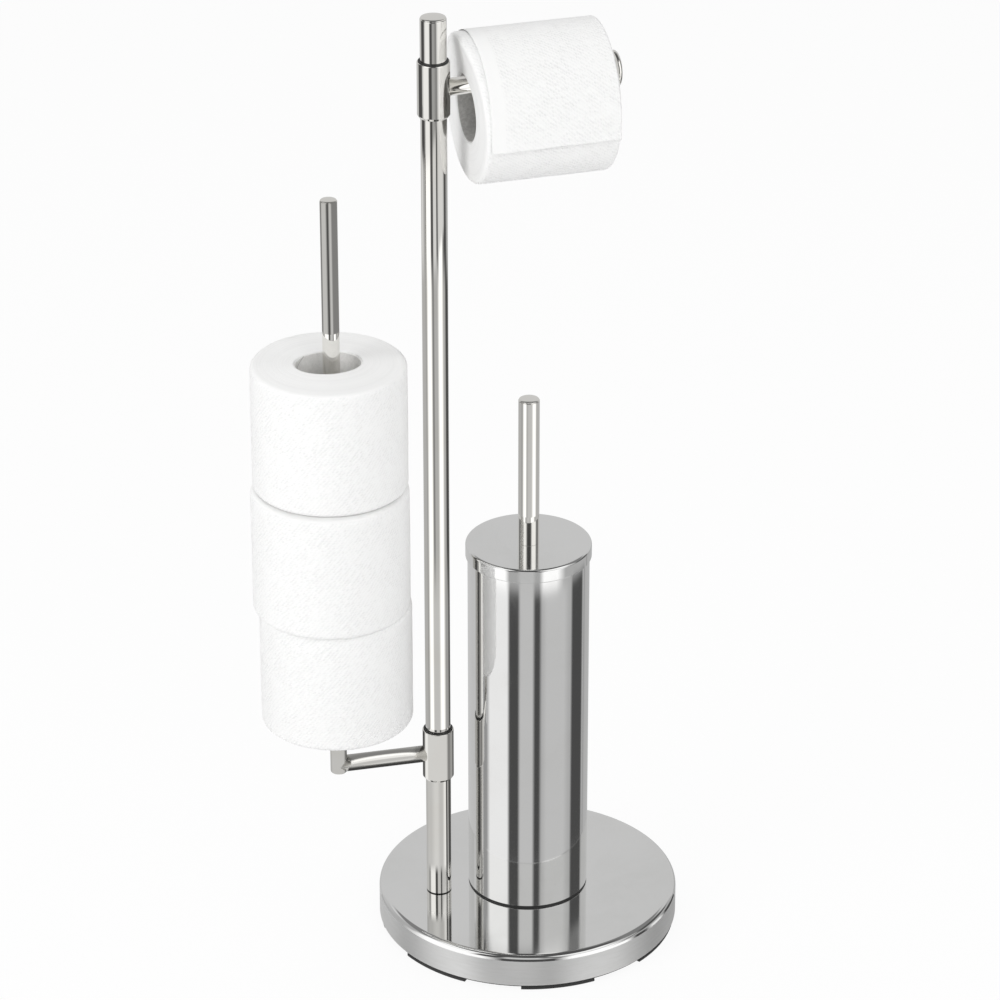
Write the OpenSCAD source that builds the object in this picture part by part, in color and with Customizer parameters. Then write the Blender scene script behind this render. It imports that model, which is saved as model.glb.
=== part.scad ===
// Free-standing toilet roll and brush stand. A weighted round base carries a pole and a brush can.
// Two sleeves turn and slide on the pole: the upper one holds a roll on a level arm, the lower one
// a spindle with three spare rolls. The can's lid, handle and brush lift out as one piece.
// The origin is on the floor under the can's axis. The pole stands on the -X side, and -Y is the front.

/* [Base] */
// Diameter of the base
base_d = 232; // [210:1:280]
// Height of the pressed cover, from its lower edge to its flat top
base_h = 27.5; // [22:0.5:40]
// Rounding of the cover's upper edge
base_edge_r = 2.5; // [1:0.5:6]
// Sheet thickness of the cover
base_wall = 1; // [0.6:0.1:1.5]
// Thickness of the iron weight under the cover
weight_h = 10; // [7:0.5:13]
// Thickness of the plastic bottom plate
plate_h = 2.5; // [2.5:0.5:4]
// Thickness of the bottom plate's rim wall
plate_rim = 3; // [2:0.5:6]
// Diameter of the screws that hold the bottom plate to the weight
plate_screw_d = 4; // [3:0.5:5]
// Direction of the first of those screws
plate_screw_turn = 30; // [20:1:40]
// Distance of those screws from the cover's outside
plate_screw_in = 36; // [26:1:50]

/* [Feet] */
// Height of the rubber feet
foot_h = 3; // [2:0.5:6]
// Angle that one foot of the ring takes up
foot_arc = 28; // [15:1:36]
// Direction of the foot at the front
foot_front = -92; // [-110:1:-70]
// Width of a foot, across the ring
foot_band = 14; // [8:1:18]
// Distance from the cover's outside to the feet
foot_inset = 2.5; // [2:0.5:6]
// Diameter of the foot under the centre
centre_foot_d = 30; // [20:1:50]

/* [Pole] */
// Distance of the pole's axis from the can's axis
pole_x = 71; // [70:1:80]
// Diameter of the pole
pole_d = 19.3; // [18:0.1:20]
// Wall of the pole's tube
pole_wall = 1.2; // [1:0.1:2]
// Length of the pole's tube above the cover
pole_h = 722; // [680:1:800]
// Diameter of the bolt that pulls the pole down on the base
pole_bolt_d = 8; // [6:0.5:9]
// Length of the threaded plug in the pole's foot
pole_plug_h = 22; // [16:1:40]
// Height of the crown on the pole's cap
pole_crown_h = 1.5; // [0.8:0.1:3]

/* [Brush can] */
// Diameter of the can
can_d = 92.4; // [86:0.2:94]
// Height of the can
can_h = 290; // [270:1:320]
// Sheet thickness of the can
can_wall = 0.8; // [0.6:0.1:1.2]
// Thickness of the dark ring under the can
can_ring_h = 1.5; // [1:0.1:3]
// Width of the dark ring under the can
can_ring_w = 8; // [4:0.5:14]
// Diameter of the screw that holds the can to the base
can_bolt_d = 5; // [4:0.5:6]
// Wall of the plastic pot in the can
pot_wall = 1.5; // [1:0.1:2.5]
// Free space between the pot and the can's wall
pot_gap = 0.8; // [0.5:0.1:1.5]
// Height of the foot rim under the pot
pot_foot_h = 6; // [5:0.5:10]
// Distance of the pot's rim below the can's rim
pot_drop = 10; // [9:0.5:16]

/* [Lid and handle] */
// Free space between the can and the lid's skirt
lid_gap = 0.8; // [0.4:0.1:2]
// Height of the lid, from its lower edge to its flat top
lid_h = 11; // [9:0.5:14]
// Sheet thickness of the lid
lid_wall = 0.8; // [0.6:0.1:0.9]
// Rounding of the lid's upper edge
lid_edge_r = 2; // [1:0.5:2.5]
// How far the lid's top stands above the can's rim
lid_rise = 4.5; // [4:0.5:6]
// How far the lid's plastic plug reaches into the can
lid_plug_h = 7; // [4:0.5:8]
// Diameter of the handle
handle_d = 16; // [14:0.5:20]
// Wall of the handle's tube
handle_wall = 1; // [0.8:0.1:1.5]
// Length of the handle's tube above the lid
handle_h = 118.5; // [100:0.5:140]
// Length of the threaded plug in the handle's foot
handle_plug_h = 18; // [12:1:30]
// Height of the crown on the handle's cap
handle_crown_h = 1.2; // [0.6:0.1:2.5]

/* [Brush] */
// Diameter of the brush's stem
stem_d = 10; // [8:0.5:12]
// Diameter of the stem's threaded end
stud_d = 6; // [5:0.5:7]
// Diameter of the brush head's core
head_d = 22; // [18:0.5:26]
// Length of the brush head's core
head_h = 72; // [60:1:90]
// How far the bristles reach below the core
head_rise = 12; // [6:1:20]
// Free space between the bristles and the pot's wall
bristle_gap = 7; // [2:0.5:14]
// Length of the bristle tuft, along the stem
bristle_h = 66; // [46:1:84]
// Space between the pot's floor and the bristles
bristle_lift = 8; // [4:1:20]

/* [Sleeves and arms] */
// Wall of the plastic bush between the pole and a sleeve
bush_wall = 0.85; // [0.6:0.05:2]
// Wall of the sleeves
sleeve_wall = 1.4; // [1.2:0.1:3]
// Length of the sleeves
sleeve_h = 42; // [34:1:60]
// Rounding of the sleeves' upper edge
sleeve_edge_r = 0.8; // [0.4:0.1:1.1]
// Width of the bevel at the sleeves' lower end, across the wall
sleeve_bevel = 1.1; // [0.4:0.1:1.1]
// Height of that bevel
sleeve_bevel_h = 1.8; // [0.4:0.1:4]
// Height of the dark lip of the bush above its sleeve
bush_lip_h = 0.7; // [0.4:0.1:2]
// Diameter of the grub screws at the back of the sleeves
grub_d = 5; // [4:0.5:6]
// How far a grub screw stands out of its sleeve
grub_proud = 0.6; // [0.2:0.1:1.5]
// Diameter of the arms and of the spindle
rod_d = 12.8; // [11:0.2:13.4]
// Distance of the upper arm's axis below the top of the pole's tube
upper_drop = 53.5; // [30:0.5:120]
// Angle that the upper holder is turned by on the pole
upper_turn = 3; // [-30:1:30]
// Distance of the lower arm's axis above the cover's flat top
lower_rise = 122.5; // [80:0.5:160]
// Diameter of the disc at the upper arm's end
stop_d = 27.5; // [20:0.5:40]
// Thickness of the disc at the upper arm's end
stop_h = 5; // [3:0.5:8]
// Free length of the upper arm between the roll and the disc
stop_gap = 8.5; // [2:0.5:20]
// Distance of the spindle's axis from the pole's axis
spindle_reach = 78; // [76:1:90]
// Length of the spindle's tube above the highest spare roll
spindle_free = 129.5; // [60:0.5:160]
// Wall of the spindle's tube
spindle_wall = 1.2; // [1:0.1:2]
// Rounding of the spindle's closed lower end
spindle_foot_r = 1.5; // [0.5:0.1:3]
// Height of the crown on the spindle's cap
spindle_crown_h = 1; // [0.5:0.1:2]
// Height of the rest disc's underside above the lower arm's axis
rest_z = 39.5; // [30:0.5:60]
// Diameter of the rest disc
rest_d = 70; // [64:1:90]
// Thickness of the rest disc
rest_h = 3; // [2:0.5:5]
// Height of the collar under the rest disc
rest_collar_h = 8; // [5:0.5:14]
// Diameter of the collar under the rest disc
rest_collar_d = 20; // [17:0.5:30]

/* [Paper rolls] */
// Width of a roll
roll_w = 98; // [94:0.5:100]
// Diameter of the hanging roll
roll_d = 112; // [90:1:118]
// Diameter of the lowest spare roll
spare_1_d = 115.6; // [90:0.2:119]
// Diameter of the middle spare roll
spare_2_d = 118.4; // [90:0.2:119]
// Diameter of the highest spare roll
spare_3_d = 116.4; // [90:0.2:119]
// Rounding of a roll's edges
roll_edge_r = 4; // [1:0.5:8]
// Inner diameter of a roll's cardboard core
core_d = 48.5; // [42:0.5:50]
// Wall of the cardboard core
core_wall = 0.9; // [0.6:0.1:1.5]
// How far a core ends inside its roll
core_inset = 0.4; // [0.2:0.1:2]
// Distance of the hanging roll's near face from the pole's axis
roll_start = 26.5; // [22:0.5:30]
// Thickness of the loose outer sheet on the hanging roll
sheet_t = 0.5; // [0.4:0.1:1]
// Distance of the loose sheet's near edge from the roll's near face
sheet_start = 5.5; // [4:0.5:20]
// Distance of the loose sheet's far edge from the roll's far face
sheet_end = 0.5; // [0.5:0.5:20]
// How far the loose sheet hangs below the hanging roll's axis
sheet_drop = 14; // [6:0.5:40]
// Angle by which the loose sheet wraps the back of the roll, below its axis
sheet_back = 20; // [0:1:60]

/* [Hidden] */
// Number of feet in the ring, and of the screws in the bottom plate
foot_count = 7;
plate_screw_count = 3;
// Where the spare rolls stand off the spindle's axis, as shares of the free space in their cores
spare_off_shares = [[0, 0.06], [-0.2, -0.17], [-0.11, 0.11]];
// Free space between flat faces that move apart, and round a loose cover
face_gap = 0.3;
// Radial free space of a plug or ring that is pressed in or welded
seat_gap = 0.05;
// Radial free space of a part that turns or slides
run_gap = 0.05;
// Radial free space of a bolt in its clearance hole
hole_gap = 0.3;
// Step between a cap's edge and the outside of its tube
cap_step = 0.3;
// How far a cut runs past the faces that it opens
cut = 1;
// Steps of a rounded edge, of a low crown and of the loose sheet
edge_steps = 6;
crown_steps = 8;
sheet_steps = 40;
$fn = 96;

base_top = foot_h + base_h;
weight_z = base_top - base_wall - weight_h;
plate_r = base_d / 2 - base_wall - face_gap;
weight_r = base_d / 2 - max(base_edge_r, base_wall) - face_gap;
plate_screw_at = base_d / 2 - plate_screw_in;
foot_r = base_d / 2 - foot_inset;
can_z = base_top + can_ring_h;
can_top = can_z + can_h;
can_in_r = can_d / 2 - can_wall;
pot_r = can_in_r - pot_gap;
pot_z = can_z + can_wall;
pot_floor = pot_z + pot_foot_h;
pot_top = can_top - pot_drop;
lid_top = can_top + lid_rise;
lid_in_r = can_d / 2 + lid_gap;
lid_r = lid_in_r + lid_wall;
lid_plug_r = pot_r - pot_wall;
handle_top = lid_top + handle_h;
bristle_z = pot_floor + pot_wall + bristle_lift;
bristle_r = pot_r - pot_wall - bristle_gap;
head_z = bristle_z + head_rise + head_d / 2;
head_top = bristle_z + head_rise + head_h;
// The stem is screwed into the upper part of the head
stem_share = 0.5;
stem_z = head_top - head_h * stem_share;
stud_z = can_top - lid_plug_h / 2;
pole_top = base_top + pole_h;
pole_in_r = pole_d / 2 - pole_wall;
upper_z = pole_top - upper_drop;
lower_z = base_top + lower_rise;
bush_in_r = pole_d / 2 + run_gap;
bush_r = bush_in_r + bush_wall;
sleeve_in_r = bush_r + run_gap;
sleeve_r = sleeve_in_r + sleeve_wall;
// The bush's lip covers this share of the sleeve's wall
lip_share = 0.45;
spindle_in_r = rod_d / 2 - spindle_wall;
core_r = core_d / 2 + core_wall;
roll_drop = core_d / 2 - rod_d / 2 - face_gap;
stop_reach = roll_start + roll_w + stop_gap + stop_h;
spare_d = [spare_1_d, spare_2_d, spare_3_d];
spare_off = (core_d - rod_d) / 2 * spare_off_shares;
stack_z = rest_z + rest_h + face_gap;
roll_pitch = roll_w + face_gap;
spindle_top = stack_z + len(spare_d) * roll_pitch + spindle_free;
// Hexagon heads and washers, as shares of their bolt's diameter
head_share = 1.6;
head_h_share = 0.65;
washer_share = 2.2;
washer_h_share = 0.2;
boss_share = 3;
thread_share = 0.8;
socket_share = 0.5;
plate_head_h = plate_screw_d * head_h_share / 2;
can_head_h = can_bolt_d * head_h_share;

steel = "gainsboro";
sheet_white = "white";
cardboard = "silver";
dark = "dimgray";

// Points of an arc about a centre, from one angle to another
function arc(centre, r, from, to, steps) =
    [for (i = [0:steps]) let (a = from + (to - from) * i / steps) centre + r * [cos(a), sin(a)]];

// Outline of a low crown from the rim's height to the axis: an ellipse, as radius and height
function crown(r, z, rise) =
    [for (i = [0:crown_steps]) let (a = 90 * i / crown_steps) [r * cos(a), z + rise * sin(a)]];

module lathe(points) rotate_extrude() polygon(points);

module ring(outer_r, inner_r, h) {
    difference() {
        cylinder(r = outer_r, h = h);
        translate([0, 0, -cut]) cylinder(r = inner_r, h = h + 2 * cut);
    }
}

module at_pole() translate([-pole_x, 0, 0]) children();

module at_upper() at_pole() translate([0, 0, upper_z]) rotate([0, 0, upper_turn]) children();

module at_lower() at_pole() translate([0, 0, lower_z]) rotate([0, 0, 180]) children();

module at_hanging_roll() at_upper() translate([roll_start, 0, -roll_drop]) rotate([0, 90, 0]) children();

module at_spare(i) at_pole()
    translate([spare_off[i].x - spindle_reach, spare_off[i].y, lower_z + stack_z + i * roll_pitch])
        children();

// A hexagon bolt that points up, with its head's underside at z = 0
module hex_bolt(d, length) {
    cylinder(d = d, h = length);
    translate([0, 0, -d * head_h_share]) cylinder(d = d * head_share, h = d * head_h_share, $fn = 6);
}

module washer(d) ring(d * washer_share / 2, d / 2 + hole_gap, d * washer_h_share);

// A cap with a low crown: a plug in the tube and a head on the tube's end face, which is at z = 0
module tube_cap(d, wall, crown_h) {
    plug_r = d / 2 - wall - seat_gap;
    head_r = d / 2 - cap_step;
    rim_h = crown_h / 3;
    lathe(concat([[0, -plug_r], [plug_r, -plug_r], [plug_r, 0], [head_r, 0]],
        crown(head_r, rim_h, crown_h - rim_h)));
}

// A threaded plug that closes the foot of a tube, with a bore for its bolt
module tube_plug(r, h, bolt_d) ring(r - seat_gap, bolt_d / 2 + seat_gap, h);

// One foot of the ring: a short curved pad
module foot(i) color(dark)
    rotate([0, 0, foot_front - foot_arc / 2 + i * 360 / foot_count])
        rotate_extrude(angle = foot_arc)
            translate([foot_r - foot_band, 0]) square([foot_band, foot_h]);

module centre_foot() color(dark) cylinder(d = centre_foot_d, h = foot_h);

module at_plate_screw(i)
    rotate([0, 0, plate_screw_turn + i * 360 / plate_screw_count])
        translate([plate_screw_at, 0, foot_h]) children();

module at_plate_screws() for (i = [0:plate_screw_count - 1]) at_plate_screw(i) children();

// A flat-head screw that points up through the bottom plate into the weight
module plate_screw(i) color(steel) at_plate_screw(i) difference() {
    union() {
        cylinder(d = plate_screw_d * head_share, h = plate_head_h);
        cylinder(d = plate_screw_d, h = weight_z - foot_h + weight_h / 2);
    }
    translate([0, 0, -cut]) cylinder(d = plate_screw_d * socket_share, h = cut + plate_head_h / 2, $fn = 6);
}

// Bottom plate with a rim wall and screw bosses that reach up to the weight
module base_plate() color(dark) difference() {
    union() {
        translate([0, 0, foot_h]) cylinder(r = plate_r, h = plate_h);
        translate([0, 0, foot_h]) ring(plate_r, plate_r - plate_rim, weight_z - foot_h);
        at_plate_screws() cylinder(d = plate_screw_d * boss_share, h = weight_z - foot_h);
    }
    at_plate_screws() translate([0, 0, -cut]) {
        cylinder(r = plate_screw_d / 2 + hole_gap, h = base_h + cut);
        cylinder(r = plate_screw_d * head_share / 2 + hole_gap, h = cut + plate_head_h);
    }
}

module base_weight() color(dark) difference() {
    translate([0, 0, weight_z]) cylinder(r = weight_r, h = weight_h);
    translate([0, 0, weight_z - cut]) {
        at_pole() cylinder(r = pole_bolt_d / 2 + hole_gap, h = weight_h + 2 * cut);
        cylinder(r = can_bolt_d / 2 + seat_gap, h = weight_h + 2 * cut);
    }
    at_plate_screws()
        cylinder(r = plate_screw_d / 2 + seat_gap, h = weight_z - foot_h + weight_h / 2 + cut);
}

// Pressed cover: flat top, rounded edge and plain skirt
module base_shell() color(steel) difference() {
    r = base_d / 2;
    in_r = r - base_wall;
    in_top = base_top - base_wall;
    in_edge = max(base_edge_r - base_wall, base_wall / 2);
    lathe(concat([[r, foot_h]],
        arc([r - base_edge_r, base_top - base_edge_r], base_edge_r, 0, 90, edge_steps),
        [[0, base_top], [0, in_top]],
        arc([in_r - in_edge, in_top - in_edge], in_edge, 90, 0, edge_steps), [[in_r, foot_h]]));
    translate([0, 0, in_top - cut]) {
        at_pole() cylinder(r = pole_bolt_d / 2 + hole_gap, h = base_wall + 2 * cut);
        cylinder(r = can_bolt_d / 2 + hole_gap, h = base_wall + 2 * cut);
    }
}

module pole_bolt() color(steel) at_pole()
    translate([0, 0, weight_z - pole_bolt_d * washer_h_share])
        hex_bolt(pole_bolt_d, weight_h + base_wall + pole_plug_h * thread_share);

module pole_washer() color(steel) at_pole()
    translate([0, 0, weight_z - pole_bolt_d * washer_h_share]) washer(pole_bolt_d);

module pole_plug() color(steel) at_pole()
    translate([0, 0, base_top]) tube_plug(pole_in_r, pole_plug_h, pole_bolt_d);

module pole_tube() color(steel) at_pole()
    translate([0, 0, base_top]) ring(pole_d / 2, pole_in_r, pole_h);

module pole_cap() color(steel) at_pole()
    translate([0, 0, pole_top]) tube_cap(pole_d, pole_wall, pole_crown_h);

module can_ring() color(dark)
    translate([0, 0, base_top]) ring(can_d / 2 - face_gap, can_d / 2 - can_ring_w, can_ring_h);

// Deep can with a closed floor
module can_shell() color(steel) difference() {
    r = can_d / 2;
    translate([0, 0, can_z]) cylinder(r = r, h = can_h);
    translate([0, 0, can_z + can_wall]) cylinder(r = can_in_r, h = can_h);
    translate([0, 0, can_z - cut]) cylinder(r = can_bolt_d / 2 + hole_gap, h = can_wall + 2 * cut);
}

// Pan-head screw that points down from the can's floor into the weight
module can_screw() color(steel) {
    seat = can_z + can_wall + can_bolt_d * washer_h_share;
    tip = weight_z + weight_h / 4;
    difference() {
        union() {
            translate([0, 0, tip]) cylinder(d = can_bolt_d, h = seat - tip);
            translate([0, 0, seat]) cylinder(d = can_bolt_d * head_share, h = can_head_h);
        }
        translate([0, 0, seat + can_head_h / 2])
            cylinder(d = can_bolt_d * socket_share, h = can_head_h, $fn = 6);
    }
}

module can_washer() color(steel) translate([0, 0, can_z + can_wall]) washer(can_bolt_d);

// Plastic pot that stands in the can on its foot rim, clear of the screw
module can_pot() color("whitesmoke") difference() {
    translate([0, 0, pot_z]) cylinder(r = pot_r, h = pot_top - pot_z);
    translate([0, 0, pot_floor + pot_wall]) cylinder(r = pot_r - pot_wall, h = pot_top - pot_floor);
    translate([0, 0, pot_z - cut]) cylinder(r = pot_r - pot_wall, h = pot_foot_h + cut);
}

// Pressed lid: flat top, rounded edge and a skirt whose lower edge is rolled in
module lid() color(steel) {
    low = lid_top - lid_h;
    in_top = lid_top - lid_wall;
    in_edge = max(lid_edge_r - lid_wall, lid_wall / 2);
    hole_r = stud_d / 2 + hole_gap;
    lathe(concat(arc([lid_in_r, low + lid_wall], lid_wall, -90, 0, edge_steps),
        arc([lid_r - lid_edge_r, lid_top - lid_edge_r], lid_edge_r, 0, 90, edge_steps),
        [[hole_r, lid_top], [hole_r, in_top]],
        arc([lid_in_r - in_edge, in_top - in_edge], in_edge, 90, 0, edge_steps)));
}

// Plastic disc that fills the lid, sits on the can's rim and reaches into the can
module lid_plug() color(dark) difference() {
    seat = can_top + face_gap;
    fill_h = lid_top - lid_wall - seat;
    union() {
        translate([0, 0, seat]) cylinder(r = lid_in_r - lid_edge_r, h = fill_h);
        translate([0, 0, seat]) cylinder(r = lid_in_r - seat_gap, h = fill_h - lid_edge_r);
        translate([0, 0, can_top - lid_plug_h]) cylinder(r = lid_plug_r, h = lid_plug_h + face_gap);
    }
    translate([0, 0, can_top - lid_plug_h - cut]) {
        cylinder(r = stud_d / 2 + seat_gap, h = lid_plug_h + lid_rise + 2 * cut);
        cylinder(r = stem_d / 2 + seat_gap, h = lid_plug_h / 2 + cut);
    }
}

module handle_tube() color(steel)
    translate([0, 0, lid_top]) ring(handle_d / 2, handle_d / 2 - handle_wall, handle_h);

module handle_plug() color(steel)
    translate([0, 0, lid_top]) tube_plug(handle_d / 2 - handle_wall, handle_plug_h, stud_d);

module handle_cap() color(steel)
    translate([0, 0, handle_top]) tube_cap(handle_d, handle_wall, handle_crown_h);

module brush_stem() color(dark) {
    translate([0, 0, stem_z]) cylinder(d = stem_d, h = stud_z - stem_z);
    translate([0, 0, stem_z]) cylinder(d = stud_d, h = lid_top + handle_plug_h * thread_share - stem_z);
}

module brush_head() color(sheet_white) difference() {
    lathe(concat(arc([0, head_z], head_d / 2, -90, 0, crown_steps), [[head_d / 2, head_top], [0, head_top]]));
    translate([0, 0, stem_z]) cylinder(r = stem_d / 2 + seat_gap, h = head_h);
}

// Rounded tuft of bristles round the head
module brush_bristles() color(sheet_white) difference() {
    edge = bristle_r / 2;
    lathe(concat([[0, bristle_z]], arc([bristle_r - edge, bristle_z + edge], edge, -90, 0, crown_steps),
        arc([bristle_r - edge, bristle_z + bristle_h - edge], edge, 0, 90, crown_steps),
        [[0, bristle_z + bristle_h]]));
    lathe(concat(arc([0, head_z], head_d / 2 + seat_gap, -90, 0, crown_steps),
        [[head_d / 2 + seat_gap, head_top + head_h], [0, head_top + head_h]]));
}

// Polished collar round the bush: bevelled foot, rounded top, and a hole at the back for its grub screw
module sleeve(back) difference() {
    low = -sleeve_h / 2;
    lathe(concat([[sleeve_in_r, low], [sleeve_r - sleeve_bevel, low], [sleeve_r, low + sleeve_bevel_h]],
        arc([sleeve_r - sleeve_edge_r, -low - sleeve_edge_r], sleeve_edge_r, 0, 90, edge_steps),
        [[sleeve_in_r, -low]]));
    rotate([-90 * back, 0, 0]) cylinder(r = grub_d / 2 + seat_gap, h = 2 * sleeve_r);
}

// Plastic liner between the pole and a sleeve, with a lip that sits on the sleeve's upper end
module bush() {
    translate([0, 0, -sleeve_h / 2]) ring(bush_r, bush_in_r, sleeve_h + run_gap + bush_lip_h);
    translate([0, 0, sleeve_h / 2 + run_gap])
        ring(bush_r + sleeve_wall * lip_share, bush_in_r, bush_lip_h);
}

module grub_screw(back) rotate([-90 * back, 0, 0]) translate([0, 0, sleeve_in_r + run_gap]) difference() {
    h = sleeve_wall - run_gap + grub_proud;
    cylinder(d = grub_d, h = h);
    translate([0, 0, h / 2]) cylinder(d = grub_d * socket_share, h = h, $fn = 6);
}

// A level rod from a sleeve's outside to a distance from the pole's axis
module rod_from_sleeve(reach) difference() {
    rotate([0, 90, 0]) cylinder(d = rod_d, h = reach);
    cylinder(r = sleeve_r + seat_gap, h = 2 * rod_d, center = true);
}

module upper_bush() color(dark) at_upper() bush();
module upper_sleeve() color(steel) at_upper() sleeve(1);
module upper_grub_screw() color(dark) at_upper() grub_screw(1);
module upper_arm() color(steel) at_upper() rod_from_sleeve(stop_reach - stop_h);

// Disc with a fully rounded edge that keeps the roll on its arm
module arm_stop() color(steel) at_upper() translate([stop_reach - stop_h, 0, 0]) rotate([0, 90, 0]) {
    edge = stop_h / 2;
    lathe(concat([[0, 0]], arc([stop_d / 2 - edge, edge], edge, -90, 90, 2 * edge_steps), [[0, stop_h]]));
}

// A roll of paper along +Z from z = 0, with rounded outer edges
module paper(d) {
    bore_r = core_r + seat_gap;
    edge_at = d / 2 - roll_edge_r;
    lathe(concat([[bore_r, 0]], arc([edge_at, roll_edge_r], roll_edge_r, -90, 0, edge_steps),
        arc([edge_at, roll_w - roll_edge_r], roll_edge_r, 0, 90, edge_steps), [[bore_r, roll_w]]));
}

module core() translate([0, 0, core_inset]) ring(core_r, core_d / 2, roll_w - 2 * core_inset);

// Loose outer turn of the hanging roll: it wraps the back and the top and hangs down at the front
module hanging_sheet() color(sheet_white) at_hanging_roll() translate([0, 0, sheet_start]) {
    in_r = roll_d / 2 + face_gap;
    out_r = in_r + sheet_t;
    linear_extrude(roll_w - sheet_start - sheet_end)
        polygon(concat(arc([0, 0], out_r, 90 - sheet_back, 270, sheet_steps),
            [[sheet_drop, -out_r], [sheet_drop, -in_r]],
            arc([0, 0], in_r, 270, 90 - sheet_back, sheet_steps)));
}

module hanging_paper() color(sheet_white) at_hanging_roll() paper(roll_d);
module hanging_core() color(cardboard) at_hanging_roll() core();

module lower_bush() color(dark) at_lower() bush();
module lower_sleeve() color(steel) at_lower() sleeve(-1);
module lower_grub_screw() color(dark) at_lower() grub_screw(-1);

module lower_arm() color(steel) at_lower() difference() {
    rod_from_sleeve(spindle_reach);
    translate([spindle_reach, 0, 0]) cylinder(r = rod_d / 2 + seat_gap, h = 2 * rod_d, center = true);
}

// Upright tube that stands on the lower arm's end, with a closed and rounded foot
module roll_spindle() color(steel) at_lower() translate([spindle_reach, 0, 0]) {
    foot = -rod_d / 2;
    lathe(concat([[0, foot]],
        arc([rod_d / 2 - spindle_foot_r, foot + spindle_foot_r], spindle_foot_r, -90, 0, edge_steps),
        [[rod_d / 2, spindle_top], [spindle_in_r, spindle_top], [spindle_in_r, foot + spindle_wall],
            [0, foot + spindle_wall]]));
}

module spindle_cap() color(steel) at_lower() translate([spindle_reach, 0, spindle_top])
    tube_cap(rod_d, spindle_wall, spindle_crown_h);

// Disc that carries the spare rolls, with its collar round the spindle
module roll_rest() color(steel) at_lower() translate([spindle_reach, 0, rest_z]) {
    bore_r = rod_d / 2 + seat_gap;
    ring(rest_d / 2, bore_r, rest_h);
    translate([0, 0, -rest_collar_h]) ring(rest_collar_d / 2, bore_r, rest_collar_h + rest_h);
}

module spare_paper(i) color(sheet_white) at_spare(i) paper(spare_d[i]);
module spare_core(i) color(cardboard) at_spare(i) core();

foot(0);  // foot_1
foot(1);  // foot_2
foot(2);  // foot_3
foot(3);  // foot_4
foot(4);  // foot_5
foot(5);  // foot_6
foot(6);  // foot_7
centre_foot();
base_plate();
plate_screw(0);  // plate_screw_1
plate_screw(1);  // plate_screw_2
plate_screw(2);  // plate_screw_3
base_weight();
base_shell();
pole_bolt();
pole_washer();
pole_plug();
pole_tube();
pole_cap();
can_ring();
can_shell();
can_screw();
can_washer();
can_pot();
lid();
lid_plug();
handle_tube();
handle_plug();
handle_cap();
brush_stem();
brush_head();
brush_bristles();
upper_bush();
upper_sleeve();
upper_grub_screw();
upper_arm();
arm_stop();
hanging_sheet();
hanging_paper();
hanging_core();
lower_bush();
lower_sleeve();
lower_grub_screw();
lower_arm();
roll_spindle();
spindle_cap();
roll_rest();
spare_paper(0);  // spare_paper_1
spare_core(0);  // spare_core_1
spare_paper(1);  // spare_paper_2
spare_core(1);  // spare_core_2
spare_paper(2);  // spare_paper_3
spare_core(2);  // spare_core_3
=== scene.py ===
import math
from functools import partialmethod
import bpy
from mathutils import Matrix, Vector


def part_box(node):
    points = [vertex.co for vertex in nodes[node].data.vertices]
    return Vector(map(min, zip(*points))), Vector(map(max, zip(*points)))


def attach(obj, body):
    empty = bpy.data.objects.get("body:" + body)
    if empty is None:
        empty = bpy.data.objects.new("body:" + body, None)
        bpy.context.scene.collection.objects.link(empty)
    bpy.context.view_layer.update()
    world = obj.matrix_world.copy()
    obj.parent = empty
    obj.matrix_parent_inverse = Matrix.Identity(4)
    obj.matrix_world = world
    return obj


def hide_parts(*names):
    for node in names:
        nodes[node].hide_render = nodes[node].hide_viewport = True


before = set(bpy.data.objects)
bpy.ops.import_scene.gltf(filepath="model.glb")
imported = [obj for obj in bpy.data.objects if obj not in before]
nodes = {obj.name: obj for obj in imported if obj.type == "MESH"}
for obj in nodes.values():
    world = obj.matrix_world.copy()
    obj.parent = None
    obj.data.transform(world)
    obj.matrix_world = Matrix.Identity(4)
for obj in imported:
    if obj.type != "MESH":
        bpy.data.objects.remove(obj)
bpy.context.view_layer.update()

from types import SimpleNamespace

import bpy
from mathutils import Matrix, Vector

# The whole scene is in metres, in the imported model's own place: Z up, -Y to the front, floor at zero.
scene = bpy.context.scene
mm = 0.001


# Camera

cameraSetup = {
    "place": (-0.7284, -2.9238, 1.8883),
    "turn": -13.579,          # degrees away from looking along +Y
    "pitch": 26.873,          # degrees downward
    "lens": 162.0,
}


def makeCamera(setup):
    data = bpy.data.cameras.new("camera")
    data.lens = setup["lens"]
    data.sensor_width = 36.0
    data.clip_start = 0.05
    data.clip_end = 60.0
    camera = bpy.data.objects.new("camera", data)
    camera.location = setup["place"]
    camera.rotation_euler = (math.radians(90 - setup["pitch"]), 0, math.radians(setup["turn"]))
    scene.collection.objects.link(camera)
    scene.camera = camera


makeCamera(cameraSetup)
scene.view_settings.view_transform = "Standard"
print("camera placed")


# Node trees: one wrapper serves shader trees and geometry trees

def findSocket(sockets, key):
    if isinstance(key, int):
        return sockets[key]
    return next(s for s in sockets if s.name == key and s.enabled)


class Wire:
    def __init__(self, graph, socket):
        self.graph = graph
        self.socket = socket

    def maths(self, operation, *others):
        inputs = {i: value for i, value in enumerate((self,) + others)}
        return self.graph.add("ShaderNodeMath", {"operation": operation}, inputs)

    def __rsub__(self, other):
        return self.graph.add("ShaderNodeMath", {"operation": "SUBTRACT"}, {0: other, 1: self})

    def blend(self, low, high):
        # 0 at low, 1 at high, eased at both ends
        inputs = {"Value": self, "From Min": low, "From Max": high}
        return self.graph.add("ShaderNodeMapRange", {"interpolation_type": "SMOOTHSTEP"}, inputs)

    def split(self):
        node = self.graph.add("ShaderNodeSeparateXYZ", {}, {0: self}).socket.node
        return [Wire(self.graph, output) for output in node.outputs]


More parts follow.
